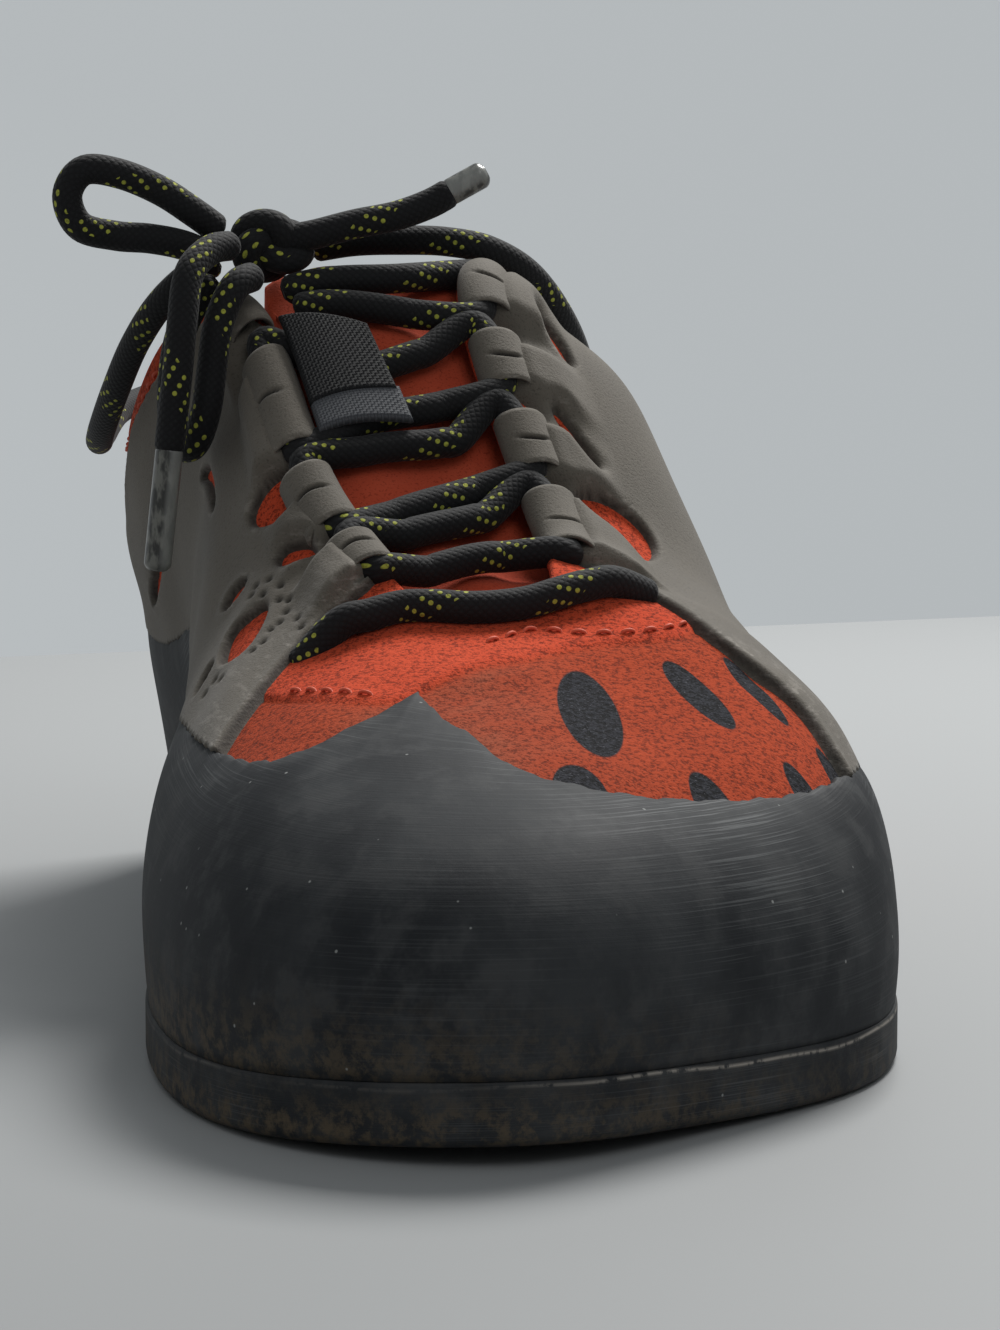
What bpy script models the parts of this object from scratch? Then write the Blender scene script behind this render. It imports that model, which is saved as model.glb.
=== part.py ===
"""A lace-up climbing shoe for the left foot, with a suede upper, a rubber rand and a laced harness.

Sizes are in millimetres and become metres when a mesh is made. The shoe stands on z = 0 with its toe
towards -Y and its outer (lateral) side towards +X. The last is drawn about the line from toe to heel, and
an empty then moves the whole shoe so that the origin is under the middle of the sole's box.
"""

import math

import bmesh
import bpy
import numpy as np

MM = 0.001

# Driving sizes of the shoe, measured outside.
LENGTH = 262.0
BALL_WIDTH = 99.0
HEEL_WIDTH = 57.0
COLLAR_WIDTH = 66.0
THROAT_WIDTH = 32.0
VAMP_HEIGHT = 54.6
INSTEP_HEIGHT = 101.0
ANKLE_HEIGHT = 76.0
HEEL_HEIGHT = 89.0
TOE_SPRING = 2.6
ARCH_RISE = 6.5
HEEL_SPRING = 2.0

# Thicknesses of the materials.
SOLE_THICKNESS = 7.4
WALL = 2.0
RAND_THICKNESS = 1.8
HARNESS_THICKNESS = 1.3
TONGUE_THICKNESS = 2.2
INSOLE_THICKNESS = 2.0
FIT_GAP = 0.3
INSOLE_GAP = 0.5
HARNESS_GAP = 0.45


def periodic_spline(knots, values, period=1.0):
    """A smooth closed curve through rows of values, as a function of any array of parameters."""
    knots, values = np.asarray(knots, float), np.asarray(values, float)
    count = len(knots)
    step = np.diff(np.append(knots, knots[0] + period))
    system = np.zeros((count, count))
    slopes = np.zeros_like(values)
    for i in range(count):
        before, after = (i - 1) % count, (i + 1) % count
        system[i, before] += step[before] / 6
        system[i, i] += (step[before] + step[i]) / 3
        system[i, after] += step[i] / 6
        slopes[i] = (values[after] - values[i]) / step[i] - (values[i] - values[before]) / step[before]
    bend = np.linalg.solve(system, slopes)

    def curve(at):
        at = (np.asarray(at, float) - knots[0]) % period + knots[0]
        i = np.clip(np.searchsorted(knots, at, side="right") - 1, 0, count - 1)
        after = (i + 1) % count
        h = step[i][..., None]
        b = (at - knots[i])[..., None] / h
        a = 1 - b
        return (
            a * values[i] + b * values[after]
            + ((a**3 - a) * bend[i] + (b**3 - b) * bend[after]) * h**2 / 6
        )

    return curve


# The last, as ribs round the shoe from the toe over the lateral side to the heel and back.
# along, across: the sole's edge, as shares of LENGTH and of the width beside them.
# top_along, top_across, top_up: the rib's end on the throat or collar, as shares likewise.
# rise, stand_out: how high the wall climbs before it turns, and how far it bulges in mm.
# reach, drop: where the rib comes in to its top end, as shares of its run and of its height.
RIBS = [
    (0.000, -0.08, BALL_WIDTH, 0.344, 0.12, THROAT_WIDTH, 1.00, VAMP_HEIGHT, 0.62, 4.0, 0.62, 0.34),
    (0.044, 0.15, BALL_WIDTH, 0.346, 0.25, THROAT_WIDTH, 1.01, VAMP_HEIGHT, 0.60, 4.0, 0.62, 0.32),
    (0.137, 0.43, BALL_WIDTH, 0.355, 0.39, THROAT_WIDTH, 1.05, VAMP_HEIGHT, 0.62, 3.0, 0.60, 0.28),
    (0.305, 0.55, BALL_WIDTH, 0.386, 0.45, THROAT_WIDTH, 1.12, VAMP_HEIGHT, 0.70, 3.0, 0.72, 0.21),
    (0.477, 0.47, BALL_WIDTH, 0.465, 0.37, THROAT_WIDTH, 0.75, INSTEP_HEIGHT, 0.77, 4.0, 0.92, 0.18),
    (0.580, 0.39, BALL_WIDTH, 0.565, 0.33, THROAT_WIDTH, 0.99, INSTEP_HEIGHT, 0.79, 4.5, 0.95, 0.15),
    (0.668, 0.60, HEEL_WIDTH, 0.655, 0.42, COLLAR_WIDTH, 1.16, ANKLE_HEIGHT, 0.60, 3.5, 0.20, 0.30),
    (0.763, 0.55, HEEL_WIDTH, 0.765, 0.49, COLLAR_WIDTH, 1.01, ANKLE_HEIGHT, 0.50, 5.5, 0.00, 0.35),
    (0.870, 0.50, HEEL_WIDTH, 0.875, 0.41, COLLAR_WIDTH, 0.92, HEEL_HEIGHT, 0.45, 7.0, 0.10, 0.40),
    (0.962, 0.31, HEEL_WIDTH, 0.943, 0.21, COLLAR_WIDTH, 0.98, HEEL_HEIGHT, 0.42, 6.0, 0.10, 0.45),
    (1.000, -0.01, HEEL_WIDTH, 0.964, -0.02, COLLAR_WIDTH, 1.00, HEEL_HEIGHT, 0.42, 6.0, 0.10, 0.45),
    (0.962, -0.30, HEEL_WIDTH, 0.943, -0.24, COLLAR_WIDTH, 0.98, HEEL_HEIGHT, 0.42, 5.0, 0.10, 0.45),
    (0.870, -0.45, HEEL_WIDTH, 0.875, -0.44, COLLAR_WIDTH, 0.92, HEEL_HEIGHT, 0.45, 4.5, 0.10, 0.40),
    (0.763, -0.41, HEEL_WIDTH, 0.765, -0.53, COLLAR_WIDTH, 1.00, ANKLE_HEIGHT, 0.50, 6.0, 0.00, 0.35),
    (0.650, -0.42, HEEL_WIDTH, 0.645, -0.49, COLLAR_WIDTH, 1.19, ANKLE_HEIGHT, 0.55, 6.0, 0.20, 0.32),
    (0.545, -0.29, BALL_WIDTH, 0.560, -0.68, THROAT_WIDTH, 0.95, INSTEP_HEIGHT, 0.62, 5.0, 0.55, 0.28),
    (0.440, -0.355, BALL_WIDTH, 0.465, -0.50, THROAT_WIDTH, 0.75, INSTEP_HEIGHT, 0.62, 4.0, 0.55, 0.28),
    (0.340, -0.42, BALL_WIDTH, 0.403, -0.33, THROAT_WIDTH, 1.16, VAMP_HEIGHT, 0.64, 3.0, 0.55, 0.26),
    (0.230, -0.445, BALL_WIDTH, 0.363, -0.19, THROAT_WIDTH, 1.05, VAMP_HEIGHT, 0.64, 2.5, 0.55, 0.26),
    (0.107, -0.40, BALL_WIDTH, 0.348, -0.08, THROAT_WIDTH, 1.01, VAMP_HEIGHT, 0.66, 3.0, 0.60, 0.28),
    (0.027, -0.26, BALL_WIDTH, 0.344, 0.02, THROAT_WIDTH, 1.00, VAMP_HEIGHT, 0.64, 4.0, 0.60, 0.32),
]
EDGE_INSET = 2.4
# Short steps for directions on the last: as a share of the way round or up, and of the length of the throat.
STEP = 0.002
THROAT_STEP = 0.001

# The rand's top edge, as (around the shoe, up the rib).
RAND_EDGE = [
    (0.000, 0.605), (0.019, 0.545), (0.039, 0.495), (0.065, 0.455), (0.103, 0.41), (0.140, 0.375), (0.190, 0.31),
    (0.240, 0.21), (0.290, 0.145), (0.340, 0.150), (0.390, 0.27), (0.445, 0.46), (0.512, 0.56), (0.578, 0.53),
    (0.620, 0.49), (0.655, 0.41), (0.695, 0.33), (0.745, 0.31), (0.800, 0.39), (0.850, 0.455), (0.886, 0.49),
    (0.921, 0.54), (0.942, 0.66), (0.962, 0.775), (0.979, 0.73),
]
# Where the toe rand and the heel rand meet: on the lateral and on the medial side of the arch.
RAND_JOINTS = (0.300, 0.735)

# The harness's upper outline, as (around the shoe, up the rib): front edge, throat edge and back edge.
HARNESS_EDGE = {
    "lateral": [
        (0.137, 0.43), (0.143, 0.50), (0.149, 0.60), (0.157, 0.72), (0.172, 0.80), (0.180, 0.86), (0.186, 0.992),
        (0.336, 0.992), (0.352, 0.70), (0.376, 0.30),
    ],
    "medial": [
        (0.606, 0.56), (0.620, 0.72), (0.640, 0.86), (0.660, 0.93), (0.700, 0.93), (0.716, 0.992),
        (0.848, 0.992), (0.849, 0.84), (0.852, 0.76), (0.858, 0.67), (0.864, 0.59), (0.869, 0.53),
    ],
}
# Its rolled loops at the throat, as spans round the shoe.
LOOPS = {
    "lateral": [(0.190, 0.244), (0.250, 0.2655), (0.2705, 0.283), (0.288, 0.308)],
    "medial": [(0.722, 0.741), (0.748, 0.777), (0.783, 0.812), (0.819, 0.846)],
}
HARNESS_ROWS = [0.865, 0.930, 0.965]
# The red windows in the harness: centre and half sizes as (around, up), and the turn in degrees.
WINDOWS = {
    "lateral": [(0.240, 0.805, 0.012, 0.055, -25.0)],
    "medial": [(0.779, 0.85, 0.0075, 0.075, 20.0), (0.815, 0.64, 0.010, 0.055, 0.0)],
}

# The rolled loops: where the roll has its crest up the rib, its half width, height and sloping ends.
LOOP_CENTRE = 0.93
LOOP_HALF = 0.065
LOOP_HEIGHT = 2.2
LOOP_END = 0.004
RAND_CLEARANCE = 0.008

WINDOW_REACH = 3.0

# The tongue between the throat's edges, from its front end to its top, as shares of LENGTH.
THROAT_FRONT = 0.3447
THROAT_TOP = 0.560
TONGUE_TOP = 0.582
TONGUE_CLEARANCE = 1.3
TONGUE_CROWN = 0.5
TONGUE_FLAP = 0.13
TONGUE_ROWS = 15

# Cells of the meshes: round the shoe and up its ribs, along and across the foot.
UPPER_CELLS = 76
UPPER_ROWS = [0.0, 0.09, 0.18, 0.26, 0.33, 0.40, 0.47, 0.54, 0.62, 0.71, 0.80, 0.90, 1.0]
UPPER_BENDS = [(0.050, 1.0), (0.310, 1.6), (0.710, 1.6), (0.950, 1.0)]
BEND_SPAN = 0.030
FOOT_STATIONS = 31
FOOT_CELLS = 4
SOLE_EDGE = 1.2
CLOSE = 0.0006
ROW_CLOSE = 0.012
INSOLE_CLEARANCE = 0.9

# The lace: each strand over the tongue, as (medial end, lateral end), shares of LENGTH.
LACE = 4.4
STRAND_INSET = 3.2
STRANDS = [
    (0.3735, 0.3945), (0.397, 0.4265), (0.4155, 0.447), (0.453, 0.4655), (0.4715, 0.4845),
    (0.490, 0.5085), (0.5365, 0.5275), (0.555, 0.5505),
]
# The front strand, which lies on the toe panel in front of the throat, as (around, up) places.
FRONT_STRAND = [
    (-0.137, 0.80), (-0.122, 0.88), (-0.093, 0.955), (-0.050, 0.972), (0.000, 0.975), (0.060, 0.970),
    (0.120, 0.945), (0.163, 0.880),
]


def rib_rows():
    """The ribs' sizes in millimetres: sole edge along and across, top end, rise, bulge, reach, drop."""
    rows = []
    for along, across, wide, t_along, t_across, t_wide, up, high, rise, out, reach, drop in RIBS:
        rows.append(
            (along * LENGTH, across * wide, t_along * LENGTH, t_across * t_wide, up * high, rise, out, reach, drop)
        )
    return np.array(rows)


def rib_knots(rows):
    """Where each rib stands round the sole, by the chords between them, from 0 at the toe to 1."""
    edge = rows[:, :2]
    chords = np.linalg.norm(np.roll(edge, -1, axis=0) - edge, axis=1)
    return np.concatenate([[0], np.cumsum(chords)[:-1]]) / chords.sum()


ROWS = rib_rows()
KNOTS = rib_knots(ROWS)
RIB = periodic_spline(KNOTS, ROWS)
HEEL_STATION = KNOTS[int(np.argmax(ROWS[:, 0]))]
ROUND_LENGTH = float(np.linalg.norm(np.roll(ROWS[:, :2], -1, axis=0) - ROWS[:, :2], axis=1).sum())
RIB_LENGTH = INSTEP_HEIGHT - SOLE_THICKNESS


def sole_bottom(along, across):
    """Height of the sole's underside: toe spring, flat forefoot, arch, flat heel, heel spring."""
    share = np.asarray(along, float) / LENGTH
    toe = TOE_SPRING * np.clip((0.16 - share) / 0.16, 0, 1) ** 2
    bump = np.clip((share - 0.42) / 0.34, 0, 1)
    inner = np.clip(0.5 - np.asarray(across, float) / HEEL_WIDTH, 0.15, 1)
    arch = ARCH_RISE * np.sin(bump * math.pi) ** 2 * inner
    heel = HEEL_SPRING * np.clip((share - 0.93) / 0.07, 0, 1) ** 2
    return toe + arch + heel


def surface(around, up, offset=0.0):
    """Points of the last at places round the shoe and up its ribs (0 at the sole, 1 at the opening)."""
    around, up, offset = np.broadcast_arrays(
        np.asarray(around, float), np.asarray(up, float), np.asarray(offset, float)
    )
    point = last_point(around, up)
    if not np.any(offset):
        return point
    low, high = np.clip(up - STEP, 0, 1), np.clip(up + STEP, 0, 1)
    along_rib = last_point(around, high) - last_point(around, low)
    along_ring = last_point(around + STEP, up) - last_point(around - STEP, up)
    normal = np.cross(along_ring, along_rib)
    normal /= np.linalg.norm(normal, axis=-1, keepdims=True)
    return point + normal * offset[..., None]


def last_point(around, up):
    """The last's own surface: on each rib a cubic curve from the sole's edge to the opening's edge."""
    row = RIB(around)
    ahead = RIB(around + STEP)[..., :2] - RIB(around - STEP)[..., :2]
    outward = np.stack([-ahead[..., 1], ahead[..., 0]], -1)
    outward /= np.linalg.norm(outward, axis=-1, keepdims=True)
    foot = row[..., :2] - outward * EDGE_INSET
    foot_up = sole_bottom(row[..., 0], row[..., 1]) + SOLE_THICKNESS + FIT_GAP
    top, top_up = row[..., 2:4], row[..., 4]
    rise, out, reach, drop = (row[..., i] for i in range(5, 9))
    run, height = foot - top, top_up - foot_up
    handles = [
        np.concatenate([foot, foot_up[..., None]], -1),
        np.concatenate([foot + outward * out[..., None] * 4 / 3, (foot_up + rise * height)[..., None]], -1),
        np.concatenate([top + run * reach[..., None], (top_up - drop * height)[..., None]], -1),
        np.concatenate([top, top_up[..., None]], -1),
    ]
    t = up[..., None]
    point = sum(
        weight * handle
        for weight, handle in zip(((1 - t) ** 3, 3 * t * (1 - t) ** 2, 3 * t**2 * (1 - t), t**3), handles)
    )
    return np.stack([point[..., 1], point[..., 0] - LENGTH / 2, point[..., 2]], -1)


def edge_height(around):
    """The rand's top edge, up the rib, at places round the shoe."""
    knots, values = zip(*RAND_EDGE)
    return periodic_spline(knots, np.array(values)[:, None])(around)[..., 0]


def upper_stations():
    """Places round the shoe for the upper's cells, closer together where it bends most."""
    fine = np.linspace(0, 1, 1001)
    density = np.ones_like(fine)
    for centre, extra in UPPER_BENDS:
        density += extra * np.exp(-(((fine - centre) / BEND_SPAN) ** 2))
    run = np.concatenate([[0], np.cumsum((density[1:] + density[:-1]) / 2)])
    return np.interp(np.arange(UPPER_CELLS) / UPPER_CELLS * run[-1], run, fine)


def stations_between(start, end, corners=()):
    """The upper's stations from one place to another, with both ends and any corners between."""
    places = np.concatenate([upper_stations() - 1, upper_stations(), corners])
    inside = np.unique(places[(places > start + CLOSE) & (places < end - CLOSE)])
    return np.concatenate([[start], inside, [end]])


def on_upper(around, up, offset):
    """A point over the upper's own flat cells: between its stations and rows, at an offset from them."""
    grid = np.append(upper_stations(), 1.0)
    turns = np.floor(around)
    i = np.clip(np.searchsorted(grid, around - turns, side="right") - 1, 0, UPPER_CELLS - 1)
    rows = np.array(UPPER_ROWS)
    j = np.clip(np.searchsorted(rows, up, side="right") - 1, 0, len(rows) - 2)
    s = ((around - turns - grid[i]) / (grid[i + 1] - grid[i]))[..., None]
    t = ((up - rows[j]) / (rows[j + 1] - rows[j]))[..., None]
    low = surface(grid[i], rows[j], offset) * (1 - s) + surface(grid[i + 1], rows[j], offset) * s
    high = surface(grid[i], rows[j + 1], offset) * (1 - s) + surface(grid[i + 1], rows[j + 1], offset) * s
    return low * (1 - t) + high * t


def foot_outline(around, inset=0.0):
    """The sole's outline, moved in by an inset, as x and y."""
    row = RIB(around)
    ahead = RIB(around + STEP)[..., :2] - RIB(around - STEP)[..., :2]
    outward = np.stack([-ahead[..., 1], ahead[..., 0]], -1)
    outward /= np.linalg.norm(outward, axis=-1, keepdims=True)
    edge = row[..., :2] - outward * inset
    return edge[..., 1], edge[..., 0] - LENGTH / 2


def ground(x, y):
    """Height of the sole's underside under a point."""
    return sole_bottom(y + LENGTH / 2, x)


def throat_around(share, side):
    """Where round the shoe the throat's edge passes a share of the shoe's length."""
    places = np.linspace(0.0, 0.31, 125) if side == "lateral" else np.linspace(1.0, 0.715, 125)
    return np.interp(share * LENGTH, RIB(places)[:, 2], places)


def throat_bridge(share, across, offset=0.0):
    """The tongue's outer surface: across 0 and 1 at the throat's edges, beyond them under the upper."""
    share, across, offset = np.broadcast_arrays(
        np.asarray(share, float), np.asarray(across, float), np.asarray(offset, float)
    )
    point = bridge_point(share, across)
    if not np.any(offset):
        return point
    ahead = bridge_point(share + THROAT_STEP, across) - bridge_point(share - THROAT_STEP, across)
    sideways = bridge_point(share, across + 2 * STEP) - bridge_point(share, across - 2 * STEP)
    normal = np.cross(sideways, ahead)
    normal /= np.linalg.norm(normal, axis=-1, keepdims=True)
    return point + normal * offset[..., None]


def bridge_point(share, across):
    """One point of the tongue: a curve from the medial to the lateral throat edge, inside the wall."""
    inside = -(WALL + TONGUE_CLEARANCE)
    within = np.clip(share, THROAT_FRONT, THROAT_TOP)
    taper = np.clip(1 - (share - THROAT_TOP) / (TONGUE_TOP - THROAT_TOP), 0, 1)
    across = 0.5 + (across - 0.5) * (0.8 + 0.2 * taper)
    beyond = (share - within)[..., None] * LENGTH
    ends, leads = [], []
    for side in ("medial", "lateral"):
        around = throat_around(within, side)
        ends.append(surface(around, np.ones_like(around), inside))
        leads.append(ends[-1] - surface(around, np.full_like(around, 0.92), inside))
    climb = 0.5 * sum(
        surface(throat_around(THROAT_TOP, side), 1.0, inside)
        - surface(throat_around(THROAT_TOP - 0.05, side), 1.0, inside)
        for side in ("medial", "lateral")
    )
    climb[0] = 0.0
    climb /= np.linalg.norm(climb)
    span = np.linalg.norm(ends[1] - ends[0], axis=-1, keepdims=True)
    t = np.clip(across, 0, 1)[..., None]
    reach = 0.3 * span
    chord = (ends[1] - ends[0]) / span
    lead = []
    for rib_end, inward in zip(leads, (chord, -chord)):
        rib_end = rib_end / np.linalg.norm(rib_end, axis=-1, keepdims=True)
        lead.append(rib_end * TONGUE_CROWN + inward * (1 - TONGUE_CROWN))
    curve = (
        (1 - t) ** 3 * ends[0]
        + 3 * t * (1 - t) ** 2 * (ends[0] + lead[0] * reach)
        + 3 * t**2 * (1 - t) * (ends[1] + lead[1] * reach)
        + t**3 * ends[1]
    )
    under = np.zeros_like(curve)
    for side, amount in (("medial", np.clip(-across, 0, None)), ("lateral", np.clip(across - 1, 0, None))):
        around = throat_around(within, side)
        edge = surface(around, np.ones_like(around), inside)
        under += surface(around, 1 - amount, inside) - edge
    return curve + under + climb * beyond


# The free lace: points on the centre lines, in mm, from the knot outward.
LACE_ROUTES = {
    "lace_wrap": [
        (-11.5, 23.2, 104.4), (-5, 22.8, 105.4), (2, 22.6, 105.6), (9, 22.8, 105.4), (16, 24, 104), (23, 27.8, 100),
        (29.5, 35, 92.6), (34.5, 46, 84.5), (36.8, 57, 78.6), (37.2, 68, 75.8), (36.2, 80, 74.6), (32.6, 97, 77.4),
        (24.4, 112.4, 81.4), (11.5, 123, 84.4), (-1.5, 126.2, 85.2), (-12.5, 123.2, 84.4), (-26, 112.4, 81.2),
        (-34.6, 97, 78.5), (-38.8, 80, 75), (-40.2, 68, 74.4), (-40.4, 57, 77), (-39.2, 45, 83),
        (-37, 35, 90), (-33.8, 27, 96), (-29.6, 21.8, 100.4), (-25.6, 21, 102.6),
    ],
    "lace_loop_left": [
        (-25.4, 18.6, 106.6), (-29.4, 17.6, 109.4), (-34.5, 16.8, 112.6), (-40.5, 16.4, 115), (-45.6, 16.4, 115.4),
        (-48, 16.6, 111.8), (-46.2, 17, 107.4), (-41, 17.4, 106), (-36, 16.8, 105.6), (-31, 16.4, 104.6),
        (-26.6, 16, 102.6),
    ],
    "lace_loop_hanging": [
        (-21.2, 10.4, 100.2), (-24.6, 7, 98.6), (-27.2, 5.6, 93.2), (-28.2, 5.2, 87), (-29.2, 5, 80.4),
        (-30.8, 7.4, 75.8), (-32.6, 11.6, 76), (-33.2, 14.6, 80.6), (-32.8, 15.2, 87), (-31.6, 14.8, 92.4),
        (-29.2, 14.4, 97), (-26.4, 14, 99.4),
    ],
    "lace_end_right": [
        (-11.4, 15.6, 106.4), (-6, 15.2, 107.8), (0, 14.8, 109), (5, 14.4, 110.8), (8.6, 14, 112.8),
    ],
    "lace_end_hanging": [
        (-24.2, 12.6, 104.6), (-28, 9, 103.8), (-31.4, 5, 100.4), (-32.6, 2.8, 94), (-33.4, 2, 87),
        (-34.2, 2, 80), (-34.8, 2, 74.6),
    ],
}
# The sealed lace tips: the lace end that each closes, and its length in mm.
AGLETS = {"aglet_right": ("lace_end_right", 5.2), "aglet_hanging": ("lace_end_hanging", 16.5)}
AGLET = 4.0
KNOT_CENTRE = (-18.2, 18.0, 104.6)
KNOT_SIZE = (13.2, 11.6, 9.6)

# The pull tab on the tongue: along the shoe and across the tongue, and its height over it in mm.
TAB_ALONG = (0.4795, 0.5140)
TAB_ACROSS = (0.12, 0.50)
TAB_THICKNESS = 1.2

COLOURS = {
    "rubber": ((0.032, 0.034, 0.037), 0.62),
    "suede": ((0.48, 0.064, 0.028), 0.92),
    "harness": ((0.140, 0.128, 0.112), 0.80),
    "tongue": ((0.56, 0.110, 0.050), 0.85),
    "lace": ((0.012, 0.013, 0.015), 0.85),
    "webbing": ((0.016, 0.017, 0.019), 0.75),
    "lace_tip": ((0.35, 0.34, 0.32), 0.35),
    "footbed": ((0.20, 0.19, 0.17), 0.90),
}


def clear_scene():
    """Remove what the scene holds."""
    for thing in list(bpy.data.objects):
        bpy.data.objects.remove(thing)


def make_stand():
    """The empty that carries the shoe, placed so that the origin is in the middle of the sole's box."""
    x, _ = foot_outline(np.linspace(0, 1, 721))
    stand = bpy.data.objects.new("stand", None)
    stand.location = (-(x.min() + x.max()) / 2 * MM, 0.0, 0.0)
    SHOE.objects.link(stand)
    return stand


def make_material(name):
    """A Principled material with a colour and a roughness from the table."""
    colour, roughness = COLOURS[name]
    material = bpy.data.materials.new(name)
    material.use_nodes = True
    shader = material.node_tree.nodes["Principled BSDF"]
    shader.inputs["Base Color"].default_value = (*colour, 1.0)
    shader.inputs["Roughness"].default_value = roughness
    shader.inputs["Metallic"].default_value = 0.0
    return material


def add_object(name, mesh, material):
    """Put a mesh in the shoe's collection under a name, shaded smooth with sharp rims."""
    mesh.shade_smooth()
    mesh.set_sharp_from_angle(angle=math.radians(40))
    mesh.materials.append(material)
    thing = bpy.data.objects.new(name, mesh)
    thing.parent = STAND
    SHOE.objects.link(thing)
    return thing


def loft(name, outer, inner, closed):
    """A wall between two grids of points: outer and inner, round the shoe by up; closed joins the ends."""
    count, rows = outer.shape[:2]
    build = bmesh.new()
    skins = []
    for grid in (outer, inner):
        skins.append([[build.verts.new(point * MM) for point in line] for line in grid])
    out, back = skins
    for i in range(count if closed else count - 1):
        k = (i + 1) % count
        for j in range(rows - 1):
            build.faces.new((out[i][j], out[k][j], out[k][j + 1], out[i][j + 1]))
            build.faces.new((back[i][j], back[i][j + 1], back[k][j + 1], back[k][j]))
        build.faces.new((back[i][0], back[k][0], out[k][0], out[i][0]))
        build.faces.new((out[i][-1], out[k][-1], back[k][-1], back[i][-1]))
    if not closed:
        for j in range(rows - 1):
            build.faces.new((back[0][j], out[0][j], out[0][j + 1], back[0][j + 1]))
            build.faces.new((out[-1][j], back[-1][j], back[-1][j + 1], out[-1][j + 1]))
    bmesh.ops.recalc_face_normals(build, faces=build.faces)
    mesh = bpy.data.meshes.new(name)
    build.to_mesh(mesh)
    build.free()
    return mesh


def footprint_slab(name, inset, low, high, edge_round):
    """A slab over the sole's outline: low and high give its heights, edge_round its rounded bottom rim."""
    half = FOOT_STATIONS
    sides = [np.linspace(0.0, HEEL_STATION, half), np.linspace(1.0, HEEL_STATION, half)]
    build = bmesh.new()

    def sheet(extra, height):
        """Vertices of one face of the slab, in rows across the foot; the toe and heel are one point."""
        lateral, medial = (np.stack(foot_outline(places, inset + extra), -1) for places in sides)
        rows = []
        for k in range(half):
            if k in (0, half - 1):
                x, y = lateral[k]
                rows.append([build.verts.new((x * MM, y * MM, height(x, y) * MM))] * (FOOT_CELLS + 1))
                continue
            row = []
            for t in np.linspace(0, 1, FOOT_CELLS + 1):
                x, y = lateral[k] * (1 - t) + medial[k] * t
                row.append(build.verts.new((x * MM, y * MM, height(x, y) * MM)))
            rows.append(row)
        return rows

    def faces(rows, flip):
        """Quads between the rows, and triangles at the toe and heel."""
        for k in range(half - 1):
            for t in range(FOOT_CELLS):
                loop = [rows[k][t], rows[k][t + 1], rows[k + 1][t + 1], rows[k + 1][t]]
                loop = list(dict.fromkeys(loop))
                build.faces.new(loop[::-1] if flip else loop)

    def rim(rows):
        """The sheet's outer vertices, once round."""
        return [row[0] for row in rows] + [row[-1] for row in rows[-2:0:-1]]

    bottom = sheet(edge_round, low)
    top = sheet(0.0, high)
    faces(bottom, True)
    faces(top, False)
    waist = []
    for x, y in [vertex.co.xy / MM for vertex in rim(top)]:
        waist.append(build.verts.new((x * MM, y * MM, (low(x, y) + edge_round) * MM)))
    for lower, upper in ((rim(bottom), waist), (waist, rim(top))):
        for k, here in enumerate(lower):
            after = (k + 1) % len(lower)
            build.faces.new((here, lower[after], upper[after], upper[k]))
    bmesh.ops.recalc_face_normals(build, faces=build.faces)
    mesh = bpy.data.meshes.new(name)
    build.to_mesh(mesh)
    build.free()
    return mesh


def make_outsole():
    """The rubber sole: flat under the forefoot and the heel, with an arch, toe spring and rounded edge."""
    mesh = footprint_slab("outsole", 0.0, ground, lambda x, y: ground(x, y) + SOLE_THICKNESS, SOLE_EDGE)
    add_object("outsole", mesh, MATERIALS["rubber"])


def make_insole():
    """The footbed inside, on the sole and within the upper's wall."""
    mesh = footprint_slab(
        "insole",
        EDGE_INSET + WALL + INSOLE_CLEARANCE,
        lambda x, y: ground(x, y) + SOLE_THICKNESS + INSOLE_GAP,
        lambda x, y: ground(x, y) + SOLE_THICKNESS + INSOLE_GAP + INSOLE_THICKNESS,
        INSOLE_THICKNESS / 4,
    )
    add_object("insole", mesh, MATERIALS["footbed"])


def make_upper():
    """The suede upper: one wall round the foot, open at the throat and collar and over the sole."""
    around, up = np.meshgrid(upper_stations(), UPPER_ROWS, indexing="ij")
    mesh = loft("upper", surface(around, up), surface(around, up, -WALL), True)
    add_object("upper", mesh, MATERIALS["suede"])


def panel(name, places, low, high, rows, gap, height):
    """A wall of material over the upper, between two heights up its ribs and a gap away from it.

    Its cells follow the upper's stations and rows; height gives its outer face in mm over the upper.
    """
    build = bmesh.new()
    skins = ([], [])
    for place, start, end in zip(places, low, high):
        keys = [row for row in rows if start + ROW_CLOSE < row < end - ROW_CLOSE]
        up = np.array([start] + keys + [end])
        around = np.full_like(up, place)
        inner = on_upper(around, up, gap)
        outer = on_upper(around, up, height(around, up))
        for skin, points in zip(skins, (outer, inner)):
            seat = ground(points[:, 0], points[:, 1]) + SOLE_THICKNESS + FIT_GAP
            points[:, 2] = np.maximum(points[:, 2], seat)
            skin.append(([-1.0] + keys + [2.0], [build.verts.new(point * MM) for point in points]))
    for skin in skins:
        for (keys, here), (others, there) in zip(skin, skin[1:]):
            shared = [key for key in keys if key in others]
            for first, last in zip(shared, shared[1:]):
                left = here[keys.index(first) : keys.index(last) + 1]
                right = there[others.index(first) : others.index(last) + 1]
                build.faces.new(left + right[::-1])
    for (_, out), (_, back) in zip(*skins):
        if out is skins[0][0][1] or out is skins[0][-1][1]:
            for k in range(len(out) - 1):
                build.faces.new((out[k], out[k + 1], back[k + 1], back[k]))
    for (first, second), (third, fourth) in zip(zip(skins[0], skins[0][1:]), zip(skins[1], skins[1][1:])):
        for end in (0, -1):
            build.faces.new((first[1][end], second[1][end], fourth[1][end], third[1][end]))
    bmesh.ops.recalc_face_normals(build, faces=build.faces)
    mesh = bpy.data.meshes.new(name)
    build.to_mesh(mesh)
    build.free()
    return mesh


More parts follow.
